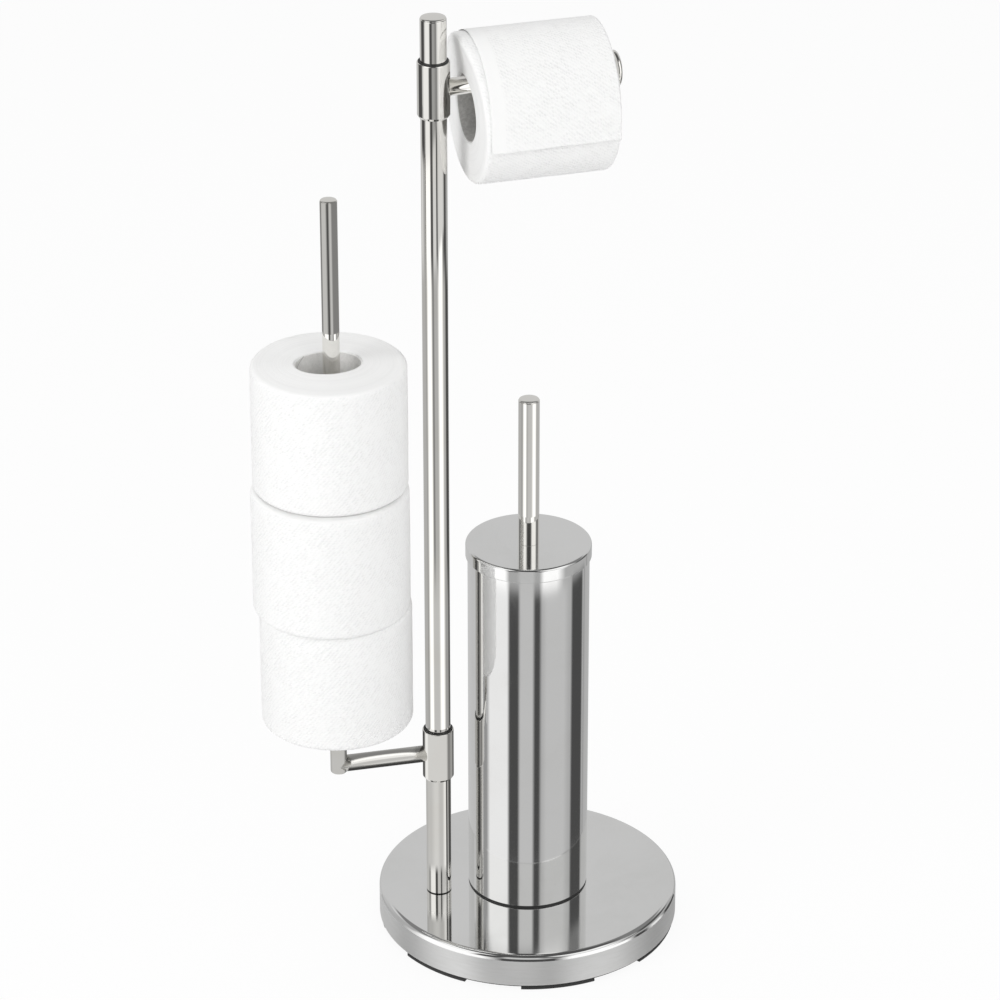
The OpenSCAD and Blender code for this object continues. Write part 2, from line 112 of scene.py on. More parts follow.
# operators and plain maths by name, such as wire * 2, wire.sine() or wire.atLeast(0.0)
wireMaths = {
    "__add__": "ADD", "__radd__": "ADD", "__sub__": "SUBTRACT", "__mul__": "MULTIPLY", "__rmul__": "MULTIPLY",
    "__truediv__": "DIVIDE", "__gt__": "GREATER_THAN", "__lt__": "LESS_THAN", "power": "POWER",
    "absolute": "ABSOLUTE", "fraction": "FRACT", "floor": "FLOOR", "sine": "SINE", "cosine": "COSINE",
    "root": "SQRT", "atLeast": "MAXIMUM", "atMost": "MINIMUM", "angleTo": "ARCTAN2", "modulo": "MODULO",
}
for method, operation in wireMaths.items():
    setattr(Wire, method, partialmethod(Wire.maths, operation))


class Graph:
    def __init__(self, tree):
        self.tree = tree

    def add(self, kind, settings=None, inputs=None, out=0):
        node = self.tree.nodes.new(kind)
        for key, value in (settings or {}).items():
            if key == "stops":
                ramp = node.color_ramp
                while len(ramp.elements) < len(value):
                    ramp.elements.new(1.0)
                for element, (at, shade) in zip(ramp.elements, value):
                    element.position = at
                    element.color = shade
            else:
                setattr(node, key, value)
        for key, value in (inputs or {}).items():
            self.feed(findSocket(node.inputs, key), value)
        return Wire(self, findSocket(node.outputs, out))

    def feed(self, socket, value):
        if isinstance(value, Wire):
            self.tree.links.new(value.socket, socket)
        else:
            socket.default_value = value

    def also(self, wire, name):
        return Wire(self, findSocket(wire.socket.node.outputs, name))

    def vector(self, x, y, z):
        return self.add("ShaderNodeCombineXYZ", {}, {0: x, 1: y, 2: z})

    def noise(self, vector, scale, detail=2.0, roughness=0.5, distortion=0.0):
        inputs = {"Vector": vector, "Scale": scale, "Detail": detail, "Roughness": roughness,
                  "Distortion": distortion}
        return self.add("ShaderNodeTexNoise", {}, inputs)

    def mixColour(self, factor, low, high):
        node = self.tree.nodes.new("ShaderNodeMix")
        node.data_type = "RGBA"
        self.feed(findSocket(node.inputs, "Factor"), factor)
        self.feed(findSocket(node.inputs, "A"), low)
        self.feed(findSocket(node.inputs, "B"), high)
        return Wire(self, findSocket(node.outputs, "Result"))


def grey(value, warmth=0.0):
    return (value * (1 + warmth), value, value * (1 - warmth), 1.0)


# Materials

def startMaterial(name):
    material = bpy.data.materials.new(name)
    material.use_nodes = True
    return material, Graph(material.node_tree), material.node_tree.nodes["Principled BSDF"]


def newMaterial(name, steady, paint):
    # steady: sockets with one value all over; paint: adds what changes over the surface
    material, graph, shader = startMaterial(name)
    for key, value in steady.items():
        shader.inputs[key].default_value = value
    for key, wire in paint(graph).items():
        material.node_tree.links.new(wire.socket, shader.inputs[key])
    return material


def place(graph):
    return graph.add("ShaderNodeTexCoord", {}, {}, "Object")


def paperPlace(graph):
    # the piece's own attribute: x and y across the roll, z along it
    return graph.add("ShaderNodeAttribute", {"attribute_name": "paperPlace"}, {}, "Vector")


def bump(graph, height, strength, distance):
    return graph.add("ShaderNodeBump", {}, {"Height": height, "Strength": strength, "Distance": distance})


steelFinishes = {
    # colour, its smudged patches, roughness, what smudges add to it, and how strong the rolled grain is
    "can": ((0.80, 0.80, 0.795, 1), (0.765, 0.76, 0.75, 1), 0.035, 0.05, 0.02),
    "pressed": ((0.79, 0.79, 0.785, 1), (0.74, 0.74, 0.73, 1), 0.025, 0.05, 0.08),
    "arm": ((0.83, 0.82, 0.79, 1), (0.80, 0.78, 0.735, 1), 0.10, 0.05, 0.02),
    "tube": ((0.83, 0.82, 0.79, 1), (0.80, 0.78, 0.735, 1), 0.015, 0.03, 0.02),
}


def paintSteel(graph, finish, satinBelow=None, paintedShadeBelow=None):
    clean, smudged, roughness, smudgeRoughness, grainStrength = steelFinishes[finish]
    where = place(graph)
    smudge = graph.noise(where, 14.0, 5.0, 0.62, 0.5).blend(0.42, 0.74)
    stretched = graph.add("ShaderNodeMapping", {}, {"Vector": where, "Scale": (1.0, 1.0, 0.06)})
    hairline = graph.noise(stretched, 900.0, 2.0)
    grain = graph.noise(where, 620.0, 3.0, 0.7)
    roughness = smudge * smudgeRoughness + grain * 0.03 + roughness
    if satinBelow:
        # a brushed skirt under a polished top
        satin = 1 - where.split()[2].blend(satinBelow - 0.8 * mm, satinBelow + 0.4 * mm)
        flat = graph.add("ShaderNodeMapping", {}, {"Vector": where, "Scale": (1.0, 1.0, 9.0)})
        brushed = graph.noise(flat, 60.0, 4.0, 0.6)
        smudge = smudge * (1 - satin) + brushed.blend(0.3, 0.7) * satin
        roughness = roughness + satin * (brushed * 0.1 + 0.27)
    colour = graph.mixColour(smudge * 0.7 + grain * 0.2, clean, smudged)
    if paintedShadeBelow:
        # painted contact shade where a tube meets the base: the colour turns near black below the given
        # height
        footShade = 1 - where.split()[2].blend(paintedShadeBelow - 0.3 * mm, paintedShadeBelow)
        colour = graph.mixColour(footShade, colour, (0.03, 0.03, 0.03, 1))
    return {
        "Base Color": colour,
        "Roughness": roughness,
        "Normal": bump(graph, hairline * 0.4 + grain * 0.6, grainStrength, 0.00003),
    }


paperFinish = {
    "colour": (0.90, 0.90, 0.895, 1.0),
    # painted shade: the embossed dents are coloured darker than the paper round them
    "shadedDent": (0.81, 0.81, 0.81, 1.0),
    "layer": (0.79, 0.79, 0.785, 1.0),
    "columns": 112.0,           # embossed dashes round a roll
    "columnPitch": 3.25 * mm,
    "rowPitch": 1.95 * mm,
    "dashLength": 1.75 * mm,
    "dashWidth": 0.8 * mm,
    "lean": 32.0,
    "drift": 2.2 * mm,
    "sway": 260.0,              # columns per metre of drift
    "depth": 0.40 * mm,
}


def paintEmbossedPaper(graph, plainBand):
    # rows of short leaning dashes, shifted by chance; plainBand is a strip without them
    finish = paperFinish
    spot = paperPlace(graph)
    x, y, z = spot.split()
    fibre = graph.noise(spot, 900.0, 4.0, 0.65)
    cloud = graph.noise(spot, 60.0, 3.0, 0.6)
    drift = (graph.noise(spot, 230.0, 2.0) - 0.5) * finish["drift"]
    row = (z + drift) / finish["rowPitch"]
    turn = y.angleTo(x) / (2 * math.pi)
    column = turn * finish["columns"] + row.floor().modulo(2.0) * 0.5 + drift * finish["sway"]
    cell = graph.vector(column.floor(), row.floor(), 0.0)
    chance = graph.add("ShaderNodeTexWhiteNoise", {}, {"Vector": cell})
    across = (column.fraction() - chance * 0.5 - 0.25) * finish["columnPitch"]
    along = (row.fraction() - 0.5) * finish["rowPitch"]
    lean = math.radians(finish["lean"])
    length = (across * math.cos(lean) + along * math.sin(lean)) / finish["dashLength"]
    width = (along * math.cos(lean) - across * math.sin(lean)) / finish["dashWidth"]
    shadedDent = 1 - (length * length + width * width).root().blend(0.4, 1.05)
    shadedDent = shadedDent * (chance * 0.7 + 0.3)
    if plainBand:
        shadedDent = shadedDent * z.blend(plainBand - 1.5 * mm, plainBand)
    shadedDent = shadedDent * (cloud.blend(0.3, 0.6) * 0.5 + 0.5)
    height = fibre * 0.25 + cloud * 0.3 - shadedDent
    return {
        # the dents take the darker colour as painted shade in their hollows, on top of their bump
        "Base Color": graph.mixColour(shadedDent * 0.8 + fibre * 0.2, finish["colour"], finish["shadedDent"]),
        "Normal": bump(graph, height, 0.6, finish["depth"]),
    }


def paintWoundPaper(graph):
    spot = paperPlace(graph)
    x, y, z = spot.split()
    fibre = graph.noise(spot, 700.0, 4.0, 0.7)
    radius = (x * x + y * y).root()
    turns = graph.noise(graph.vector(radius * 900.0, y.angleTo(x).sine() * 0.4, 0.0), 1.0, 3.0, 0.7)
    colour = graph.mixColour(turns.blend(0.35, 0.8) * 0.5, paperFinish["colour"], paperFinish["layer"])
    return {"Base Color": colour, "Normal": bump(graph, turns + fibre * 0.6, 0.4, 0.0004)}


def paintCardboard(graph, dark, light):
    spot = paperPlace(graph)
    x, y, z = spot.split()
    fibre = graph.noise(spot, 420.0, 5.0, 0.7)
    flake = graph.noise(spot, 1300.0, 2.0, 0.6)
    seam = (y.angleTo(x) / (2 * math.pi) + z / 0.085).fraction()
    edge = 1 - (seam - 0.5).absolute().blend(0.0, 0.012)
    speck = flake.blend(0.55, 0.72)
    colour = graph.mixColour(fibre.blend(0.3, 0.7), dark, light)
    colour = graph.mixColour(speck * 0.35, colour, light)
    colour = graph.mixColour(edge * 0.5, colour, (0.28, 0.275, 0.265, 1))
    return {"Base Color": colour, "Normal": bump(graph, fibre - edge, 0.4, 0.0003)}


dullFinishes = {
    # grain, patches, where patches start and end, their strength, roughness by patch and grain and base, bump
    "moulded": ((700.0, 3.0, 0.6), (40.0, 4.0, 0.65), (0.5, 0.8), 0.5, (0.12, 0.1, 0.45), (0.25, 0.0001)),
    "cast": ((500.0, 4.0, 0.7), (70.0, 3.0, 0.6), (0.4, 0.7), 1.0, (0.15, 0.15, 0.2), (0.2, 0.00008)),
}


def paintDull(graph, finish, colour, worn):
    grainNoise, patchNoise, bounds, strength, (byPatch, byGrain, base), relief = dullFinishes[finish]
    where = place(graph)
    grain = graph.noise(where, *grainNoise)
    patch = graph.noise(where, *patchNoise).blend(*bounds)
    return {
        "Base Color": graph.mixColour(patch * strength, colour, worn),
        "Roughness": patch * byPatch + grain * byGrain + base,
        "Normal": bump(graph, grain, *relief),
    }


def steel(name, *how):
    return newMaterial(name, {"Metallic": 1.0}, lambda g: paintSteel(g, *how))


def embossed(name, plainBand):
    return newMaterial(name, {"Roughness": 0.92}, lambda g: paintEmbossedPaper(g, plainBand))


def board(name, dark, light):
    return newMaterial(name, {"Roughness": 0.9}, lambda g: paintCardboard(g, dark, light))


def moulded(name, colour, worn):
    return newMaterial(name, {}, lambda g: paintDull(g, "moulded", colour, worn))


def dullMetal(name, metallic, colour, worn):
    return newMaterial(name, {"Metallic": metallic}, lambda g: paintDull(g, "cast", colour, worn))


canSteel = steel("canSteel", "can")
pressedSteel = steel("pressedSteel", "pressed")
coverSteel = steel("coverSteel", "pressed", 26.2 * mm)
armSteel = steel("armSteel", "arm")
# the tubes' steel is painted near black under 31.5 mm, as painted shade at the pole's foot
tubeSteel = steel("tubeSteel", "tube", None, 31.5 * mm)
paperSide = embossed("embossedPaper", 0.0)
paperSheet = embossed("looseSheetPaper", 11.5 * mm)
paperEnd = newMaterial("woundPaper", {"Roughness": 0.95}, paintWoundPaper)
# a darker copy of the cardboard for the hanging roll's core: painted shade for its hollow, which hangs in
# shadow
shadedCardboard = board("shadedGreyCardboard", (0.44, 0.435, 0.42, 1), (0.60, 0.595, 0.58, 1))
paleCardboard = board("paleCardboard", (0.80, 0.795, 0.78, 1), (0.90, 0.895, 0.88, 1))
rubber = moulded("rubber", grey(0.018), grey(0.035))
blackPlastic = moulded("blackPlastic", grey(0.022), grey(0.04))
whitePlastic = moulded("whitePlastic", grey(0.78), grey(0.72, 0.02))
bristleNylon = newMaterial("bristleNylon", {"Roughness": 0.4}, lambda g: {
    "Base Color": g.mixColour(g.noise(place(g), 300.0), grey(0.9), grey(0.78))})
zincSteel = dullMetal("zincSteel", 1.0, grey(0.6), grey(0.48))
castIron = dullMetal("castIron", 0.6, grey(0.1), grey(0.06, 0.1))
blackSteel = dullMetal("blackSteel", 0.8, grey(0.05), grey(0.03))
print("materials made")


# The CAD pieces that stay get their finish here

cadFinishes = {
    rubber: ["centre_foot"],
    zincSteel: ["plate_screw_1", "plate_screw_2", "plate_screw_3", "pole_bolt", "pole_washer", "pole_plug",
                "can_screw", "can_washer", "handle_plug"],
    castIron: ["base_weight"],
    blackPlastic: ["base_plate", "lid_plug", "brush_stem"],
    whitePlastic: ["brush_head"],
    blackSteel: ["upper_grub_screw", "lower_grub_screw"],
}
for material, names in cadFinishes.items():
    for name in names:
        nodes[name].data.materials.clear()
        nodes[name].data.materials.append(material)


# Turned pieces: an outline of stretches is swept round an axis, and each stretch keeps its true normals

def line(*points):
    stretch = []
    for (r0, z0), (r1, z1) in zip(points, points[1:]):
        length = math.hypot(r1 - r0, z1 - z0)
        normal = ((z1 - z0) / length, (r0 - r1) / length)
        stretch.append([(r0, z0, *normal), (r1, z1, *normal)])
    return stretch


def arc(centreR, centreZ, radius, start, end, steps=8, rise=None):
    # an ellipse where rise is given; an arc that turns clockwise is hollow
    side = 1 if end > start else -1
    tall = radius if rise is None else rise
    points = []
    for i in range(steps + 1):
        angle = math.radians(start + (end - start) * i / steps)
        normal = Vector((math.cos(angle) * tall, math.sin(angle) * radius)).normalized() * side
        points.append((centreR + radius * math.cos(angle), centreZ + tall * math.sin(angle), *normal))
    return [[a, b] for a, b in zip(points, points[1:])]


def straight(start, end):
    # nothing where the two points are one, or where both lie on the axis
    if math.hypot(end[0] - start[0], end[1] - start[1]) < 1e-9 or max(start[0], end[0]) < 1e-9:
        return []
    return line(start, end)


def sign(value):
    return (value > 1e-9) - (value < -1e-9)


def rounded(*corners):
    # an outline through corners (r, z); a square one is rounded where it also gives a radius and steps
    outline, at = [], corners[0]
    for before, (r, z, *rounding), after in zip(corners, corners[1:], corners[2:]):
        soft, steps = rounding or (0, 0)
        inR, inZ = sign(r - before[0]), sign(z - before[1])
        outR, outZ = sign(after[0] - r), sign(after[1] - z)
        start = (r - inR * soft, z - inZ * soft)
        outline += straight(at, start)
        at = start
        if soft:
            first = math.degrees(math.atan2(-outZ, -outR))
            sweep = 90 * (inR * outZ - inZ * outR)
            outline += arc(start[0] + outR * soft, start[1] + outZ * soft, soft, first, first + sweep, steps)
            at = (r + outR * soft, z + outZ * soft)
    return outline + straight(at, corners[-1])


def turned(name, outline, around):
    rings, faces, normals, keys = [], [], [], {}
    spokes = [(math.cos(2 * math.pi * j / around), math.sin(2 * math.pi * j / around)) for j in range(around)]

    def ring(r, z):
        key = (round(r, 7), round(z, 7))
        if key not in keys:
            if r < 1e-7:
                keys[key] = [len(rings)] * around
                rings.append((0.0, 0.0, z))
            else:
                keys[key] = list(range(len(rings), len(rings) + around))
                rings.extend((r * c, r * s, z) for c, s in spokes)
        return keys[key]

    for a, b in outline:
        low, high = ring(a[0], a[1]), ring(b[0], b[1])
        for j in range(around):
            k = (j + 1) % around
            corners = [(low[j], a, j), (low[k], a, k), (high[k], b, k), (high[j], b, j)]
            if a[0] < 1e-7:
                corners = [(low[j], a, j), (high[k], b, k), (high[j], b, j)]
            elif b[0] < 1e-7:
                corners = [(low[j], a, j), (low[k], a, k), (high[j], b, j)]
            faces.append([corner[0] for corner in corners])
            for _, point, spoke in corners:
                c, s = spokes[spoke]
                normals.append((point[2] * c, point[2] * s, point[3]))
    return newPiece(name, rings, faces, normals)


def newPiece(name, vertices, faces, normals=None):
    mesh = bpy.data.meshes.new(name)
    mesh.from_pydata(vertices, [], faces)
    mesh.shade_smooth()
    if normals:
        mesh.normals_split_custom_set(normals)
    piece = bpy.data.objects.new(name, mesh)
    scene.collection.objects.link(piece)
    return piece


def settled(piece, body, replaced, where=None):
    if where is not None:
        piece.data.transform(where)
    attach(piece, body)
    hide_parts(*replaced)


def strip(count, closed):
    # quads between neighbouring pairs of points, of which pair i is 2i and 2i + 1
    faces = []
    for i in range(count if closed else count - 1):
        k = (i + 1) % count
        faces.append([2 * i, 2 * i + 1, 2 * k + 1, 2 * k])
    return faces


def finished(piece, body, material, replaced, where=None):
    piece.data.materials.append(material)
    settled(piece, body, replaced, where)


def axisOf(node):
    low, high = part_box(node)
    return (low.x + high.x) / 2, (low.y + high.y) / 2


def roundSize(node):
    # radius, foot and top of a round piece
    low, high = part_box(node)
    return (high.x - low.x) / 2, low.z, high.z


def moved(x, y, z=0.0):
    return Matrix.Translation((x, y, z))


# Base cover: flat top, tight rounded edge, plain skirt with a folded hem

baseCover = {"wall": 1.0 * mm, "edge": 4.6 * mm, "hem": 0.5 * mm, "lift": 1.3 * mm, "around": 256}


def makeBase(sizes):
    r, foot, top = roundSize("base_shell")
    foot += sizes["lift"]
    wall, edge = sizes["wall"], sizes["edge"]
    innerR, innerTop = r - wall, top - wall
    outline = rounded((innerR, foot), (r, foot, sizes["hem"], 4), (r, top, edge, 16), (0, top), (0, innerTop),
                      (innerR, innerTop, edge - wall, 6), (innerR, foot))
    piece = turned("baseCover", outline, sizes["around"])
    finished(piece, "stand", coverSteel, ["base_shell"])


makeBase(baseCover)


# Pole, handle and spindle: tube with a softened end under a low-crowned cap

tubeEnds = {"softening": 0.6 * mm, "capInset": 0.5 * mm, "capEdge": 0.3 * mm, "around": 96}


def tubeOutline(r, foot, top, footEdge):
    return rounded((0, foot), (r, foot, footEdge, 8), (r, top, tubeEnds["softening"], 6), (0, top))


def capOutline(r, foot, top):
    rim, edge = r - tubeEnds["capInset"], tubeEnds["capEdge"]
    rise = (top - foot) * 2 / 3
    outline = line((0, foot), (rim, foot), (rim, top - rise))
    return outline + arc(0, top - rise, rim, 0, 90, 24, rise)


def makeTube(tube, cap, tubeName, capName, body, footEdge):
    r, foot, top = roundSize(tube)
    where = moved(*axisOf(tube))
    shaft = turned(tubeName, tubeOutline(r, foot, top, footEdge), tubeEnds["around"])
    finished(shaft, body, tubeSteel, [tube], where)
    crown = turned(capName, capOutline(r, top, roundSize(cap)[2]), tubeEnds["around"])
    finished(crown, body, tubeSteel, [cap], where)


makeTube("pole_tube", "pole_cap", "poleTube", "poleCap", "stand", 0.2 * mm)
makeTube("handle_tube", "handle_cap", "handleTube", "handleCap", "brush", 0.2 * mm)
makeTube("roll_spindle", "spindle_cap", "spindleTube", "spindleCap", "lower_holder", 1.5 * mm)
print("base and tubes made")


# Brush can: open shell with a turned rim, its pot and foot ring, and the lid

canSizes = {"shell": 0.8 * mm, "shellEdge": 0.3 * mm, "pot": 1.5 * mm, "potEdge": 1.0 * mm,
            "potFloor": 7.5 * mm, "ringBand": 8.0 * mm, "around": 192}


def cupOutline(r, foot, top, wall, footEdge, floor):
    innerR, lip = r - wall, wall / 2
    return rounded((0, foot), (r, foot, footEdge, 6), (r, top, lip, 4), (innerR, top, lip, 4),
                   (innerR, floor), (0, floor))


def makeCan(sizes):
    around = sizes["around"]
    r, foot, top = roundSize("can_shell")
    shell = cupOutline(r, foot, top, sizes["shell"], sizes["shellEdge"], foot + sizes["shell"])
    finished(turned("canShell", shell, around), "stand", canSteel, ["can_shell"])
    r, foot, top = roundSize("can_pot")
    pot = cupOutline(r, foot, top, sizes["pot"], sizes["potEdge"], foot + sizes["potFloor"])
    finished(turned("canPot", pot, around), "stand", whitePlastic, ["can_pot"])
    r, foot, top = roundSize("can_ring")
    innerR = r - sizes["ringBand"]
    ring = line((innerR, foot), (r, foot), (r, top), (innerR, top), (innerR, foot))
    finished(turned("canRing", ring, around), "stand", blackPlastic, ["can_ring"])


makeCan(canSizes)

lidShape = {"wall": 0.8 * mm, "edge": 2.0 * mm, "curl": 0.8 * mm, "around": 192}


def makeLid(sizes):
    r, foot, top = roundSize("lid")
    innerR, innerTop = r - sizes["wall"], top - sizes["wall"]
    outline = rounded((innerR, foot), (r, foot, sizes["curl"], 8), (r, top, sizes["edge"], 16), (0, top),
                      (0, innerTop), (innerR, innerTop), (innerR, foot))
    finished(turned("lidShell", outline, sizes["around"]), "brush", pressedSteel, ["lid"])


makeLid(lidShape)
print("can and lid made")


# Sleeves and their bushes

sleeveShape = {"edge": 0.8 * mm, "bevel": 1.1 * mm, "bevelHeight": 1.8 * mm, "bore": 10.6 * mm,
               "radius": 12.0 * mm, "lipRadius": 11.18 * mm, "lipEdge": 0.25 * mm, "bushRadius": 10.55 * mm,
               "fit": 0.05 * mm, "around": 96}
poleAxis = axisOf("pole_tube")
poleR = roundSize("pole_tube")[0]


def makeSleeve(sleeve, bush, sleeveName, bushName, holder, clamp):
    sizes = sleeveShape
    low, high = roundSize(sleeve)[1:]
    r, bore, fit = sizes["radius"], sizes["bore"], sizes["fit"]
    outline = rounded((bore, low), (r - sizes["bevel"], low), (r, low + sizes["bevelHeight"]),
                      (r, high, sizes["edge"], 10), (bore, high), (bore, low))
    piece = turned(sleeveName, outline, sizes["around"])
    finished(piece, holder, tubeSteel, [sleeve], moved(*poleAxis))
    bushLow, bushHigh = roundSize(bush)[1:]
    inner, lip, bushR = poleR + fit, sizes["lipRadius"], sizes["bushRadius"]
    outline = rounded((inner, bushLow), (bushR, bushLow), (bushR, high + fit), (lip, high + fit),
                      (lip, bushHigh, sizes["lipEdge"], 4), (inner, bushHigh), (inner, bushLow))
    piece = turned(bushName, outline, sizes["around"])
    finished(piece, clamp, blackPlastic, [bush], moved(*poleAxis))


makeSleeve("upper_sleeve", "upper_bush", "upperSleeve", "upperBush", "upper_holder", "upper_clamp")
makeSleeve("lower_sleeve", "lower_bush", "lowerSleeve", "lowerBush", "lower_holder", "lower_clamp")


# Arms: level rods whose ends are cut to the round pieces they meet

armShape = {"radius": 6.4 * mm, "around": 72, "sunk": 0.9}        # sunk: where the hidden ends come together
stopShape = {"radius": 13.75 * mm, "half": 2.5 * mm, "face": 133.0 * mm, "around": 96}
upperTurn = math.radians(3.0)


def makeRod(name, length, startR, endR):
    r, around, sunk = armShape["radius"], armShape["around"], armShape["sunk"]
    vertices, faces = [], strip(around, True)
    for j in range(around):
        angle = 2 * math.pi * j / around
        y, z = r * math.cos(angle), r * math.sin(angle)
        start = math.sqrt(startR ** 2 - y ** 2)
        end = length - (math.sqrt(max(endR ** 2 - y ** 2, 0.0)) if endR else 0.0)
        vertices += [(start, y, z), (end, y, z)]
    vertices += [(startR * sunk, 0, 0), (length - endR * sunk, 0, 0)]
    for j in range(around):
        k = (j + 1) % around
        faces.append([2 * around, 2 * j, 2 * k])
        faces.append([2 * around + 1, 2 * k + 1, 2 * j + 1])
    piece = newPiece(name, vertices, faces)
    piece.data.flip_normals()
    return piece


upperZ = sum(roundSize("upper_arm")[1:]) / 2
lowerZ = sum(roundSize("lower_arm")[1:]) / 2
spindleAxis = axisOf("roll_spindle")
atUpper = moved(*poleAxis, upperZ) @ Matrix.Rotation(upperTurn, 4, "Z")
atLower = moved(*poleAxis, lowerZ) @ Matrix.Rotation(math.pi, 4, "Z")


def makeArms(stop):
    arm = makeRod("upperArm", stop["face"], sleeveShape["radius"], 0.0)
    finished(arm, "upper_holder", tubeSteel, ["upper_arm"], atUpper)
    arm = makeRod("lowerArm", poleAxis[0] - spindleAxis[0], sleeveShape["radius"], armShape["radius"])
    finished(arm, "lower_holder", armSteel, ["lower_arm"], atLower)
    r, half = stop["radius"], stop["half"]
    outline = rounded((0, 0), (r, 0, half, 10), (r, 2 * half, half, 10), (0, 2 * half))
    across = atUpper @ moved(stop["face"], 0, 0) @ Matrix.Rotation(math.pi / 2, 4, "Y")
    disc = turned("armStop", outline, stop["around"])
    finished(disc, "upper_holder", tubeSteel, ["arm_stop"], across)


makeArms(stopShape)

restShape = {"radius": 35.0 * mm, "collar": 10.0 * mm, "bore": 6.45 * mm, "height": 3.0 * mm,
             "edge": 0.6 * mm, "around": 96}


def makeRest(sizes):
    low, high = roundSize("roll_rest")[1:]
    r, bore, collar, edge = sizes["radius"], sizes["bore"], sizes["collar"], sizes["edge"]
    under = high - sizes["height"]
    outline = rounded((bore, low), (collar, low, edge, 4), (collar, under), (r, under, edge, 4),
                      (r, high, edge, 4), (bore, high), (bore, low))
    piece = turned("rollRest", outline, sizes["around"])
    finished(piece, "lower_holder", tubeSteel, ["roll_rest"], moved(*spindleAxis))


makeRest(restShape)
print("sleeves and arms made")


# Geometry Nodes: a tree with named inputs, grown once and turned into a plain mesh

def newTree(name, floats, ints="", materials="Material"):
    tree = bpy.data.node_groups.new(name, "GeometryNodeTree")
    tree.interface.new_socket("Geometry", in_out="OUTPUT", socket_type="NodeSocketGeometry")
    keys = []
    for kind, names in (("Float", floats), ("Int", ints), ("Material", materials)):
        for key in names.split():
            tree.interface.new_socket(key, in_out="INPUT", socket_type="NodeSocket" + kind)
            keys.append(key)
    start = tree.nodes.new("NodeGroupInput")
    graph = Graph(tree)
    return graph, SimpleNamespace(**{key: Wire(graph, start.outputs[key]) for key in keys})


def position(graph):
    return graph.add("GeometryNodeInputPosition").split()


def placed(graph, geometry, x, y, z):
    return graph.add("GeometryNodeSetPosition", {}, {"Geometry": geometry, "Position": graph.vector(x, y, z)})


def grid(graph, across, along):
    # one metre square, to be bent
    size = {"Size X": 1.0, "Size Y": 1.0}
    return graph.add("GeometryNodeMeshGrid", {}, {**size, "Vertices X": across, "Vertices Y": along})


def withPaperPlace(graph, geometry, x, y, z):
    settings = {"data_type": "FLOAT_VECTOR", "domain": "POINT"}
    inputs = {"Geometry": geometry, "Name": "paperPlace", "Value": graph.vector(x, y, z)}
    return graph.add("GeometryNodeStoreNamedAttribute", settings, inputs)


def endTree(graph, geometry, material, ends=None, endMaterial=None):
    geometry = graph.add("GeometryNodeSetShadeSmooth", {}, {"Geometry": geometry})
    geometry = graph.add("GeometryNodeRealizeInstances", {}, {"Geometry": geometry})
    geometry = graph.add("GeometryNodeSetMaterial", {}, {"Geometry": geometry, "Material": material})
    if ends is not None:
        inputs = {"Geometry": geometry, "Selection": ends, "Material": endMaterial}
        geometry = graph.add("GeometryNodeSetMaterial", {}, inputs)
    output = graph.tree.nodes.new("NodeGroupOutput")
    graph.tree.links.new(geometry.socket, output.inputs[0])
    return graph.tree


def grow(name, tree, values):
    piece = bpy.data.objects.new(name, bpy.data.meshes.new(name + "Seed"))
    scene.collection.objects.link(piece)
    modifier = piece.modifiers.new("tree", "NODES")
    modifier.node_group = tree
    for item in tree.interface.items_tree:
        if item.in_out == "INPUT" and item.name in values:
            modifier[item.identifier] = values[item.name]
    view = bpy.context.evaluated_depsgraph_get()
    grown = piece.evaluated_get(view)
    mesh = bpy.data.meshes.new_from_object(grown, preserve_all_data_layers=True, depsgraph=view)
    piece.modifiers.clear()
    piece.data = mesh
    mesh.name = name
    return piece


# Feet: seven short curved pads round the rim, with a softened edge

feetSizes = {"Count": 7, "Radius": 114.9 * mm, "Band": 14.0 * mm, "Height": 3.0 * mm, "Edge": 0.7 * mm,
             "Arc": math.radians(29.0), "First": math.radians(-91.8)}


def makeFeetTree():
    graph, given = newTree("feetTree", "Radius Band Height Edge Arc First", "Count")
    profile = graph.add("GeometryNodeCurvePrimitiveQuadrilateral", {"mode": "RECTANGLE"},
                        {"Width": given.Band, "Height": given.Height})
    profile = graph.add("GeometryNodeFilletCurve", {"mode": "POLY"},
                        {"Curve": profile, "Radius": given.Edge, "Count": 4})
    profile = graph.add("GeometryNodeResampleCurve", {"mode": "COUNT"}, {"Curve": profile, "Count": 64})
    # a straight pad one metre long, which is then bent round the rim
    bar = graph.add("GeometryNodeCurvePrimitiveLine", {"mode": "POINTS"},
                    {"Start": (0, 0, -0.5), "End": (0, 0, 0.5)})
    bar = graph.add("GeometryNodeResampleCurve", {"mode": "COUNT"}, {"Curve": bar, "Count": 24})
    pad = graph.add("GeometryNodeCurveToMesh", {},
                    {"Curve": bar, "Profile Curve": profile, "Fill Caps": True})
    x, y, z = position(graph)
    angle = z * given.Arc
    out = given.Radius - given.Band / 2 + x
    pad = placed(graph, pad, out * angle.cosine(), out * angle.sine(), y + given.Height / 2)
    pad = graph.add("GeometryNodeFlipFaces", {}, {"Mesh": pad})
    points = graph.add("GeometryNodePoints", {}, {"Count": given.Count, "Position": (0, 0, 0)})
    turn = graph.add("GeometryNodeInputIndex") * 2 * math.pi / given.Count + given.First
    feet = graph.add("GeometryNodeInstanceOnPoints", {},
                     {"Points": points, "Instance": pad, "Rotation": graph.vector(0.0, 0.0, turn)})
    return endTree(graph, feet, given.Material)


def makeFeet(sizes):
    feet = grow("baseFeet", makeFeetTree(), {**sizes, "Material": rubber})
    settled(feet, "stand", ["foot_%d" % (i + 1) for i in range(sizes["Count"])])


makeFeet(feetSizes)


# Paper rolls: one tree winds all four

rollSizes = {"Edge": 3.6 * mm, "Tail": 0.5 * mm, "Swell": 0.3 * mm, "Reach": 60.0 * mm, "Slump": 0.0,
             "Squash": 0.0, "Lip": 0.0}
boreEdge = 0.6 * mm
aroundRoll, acrossRoll = 144, 200


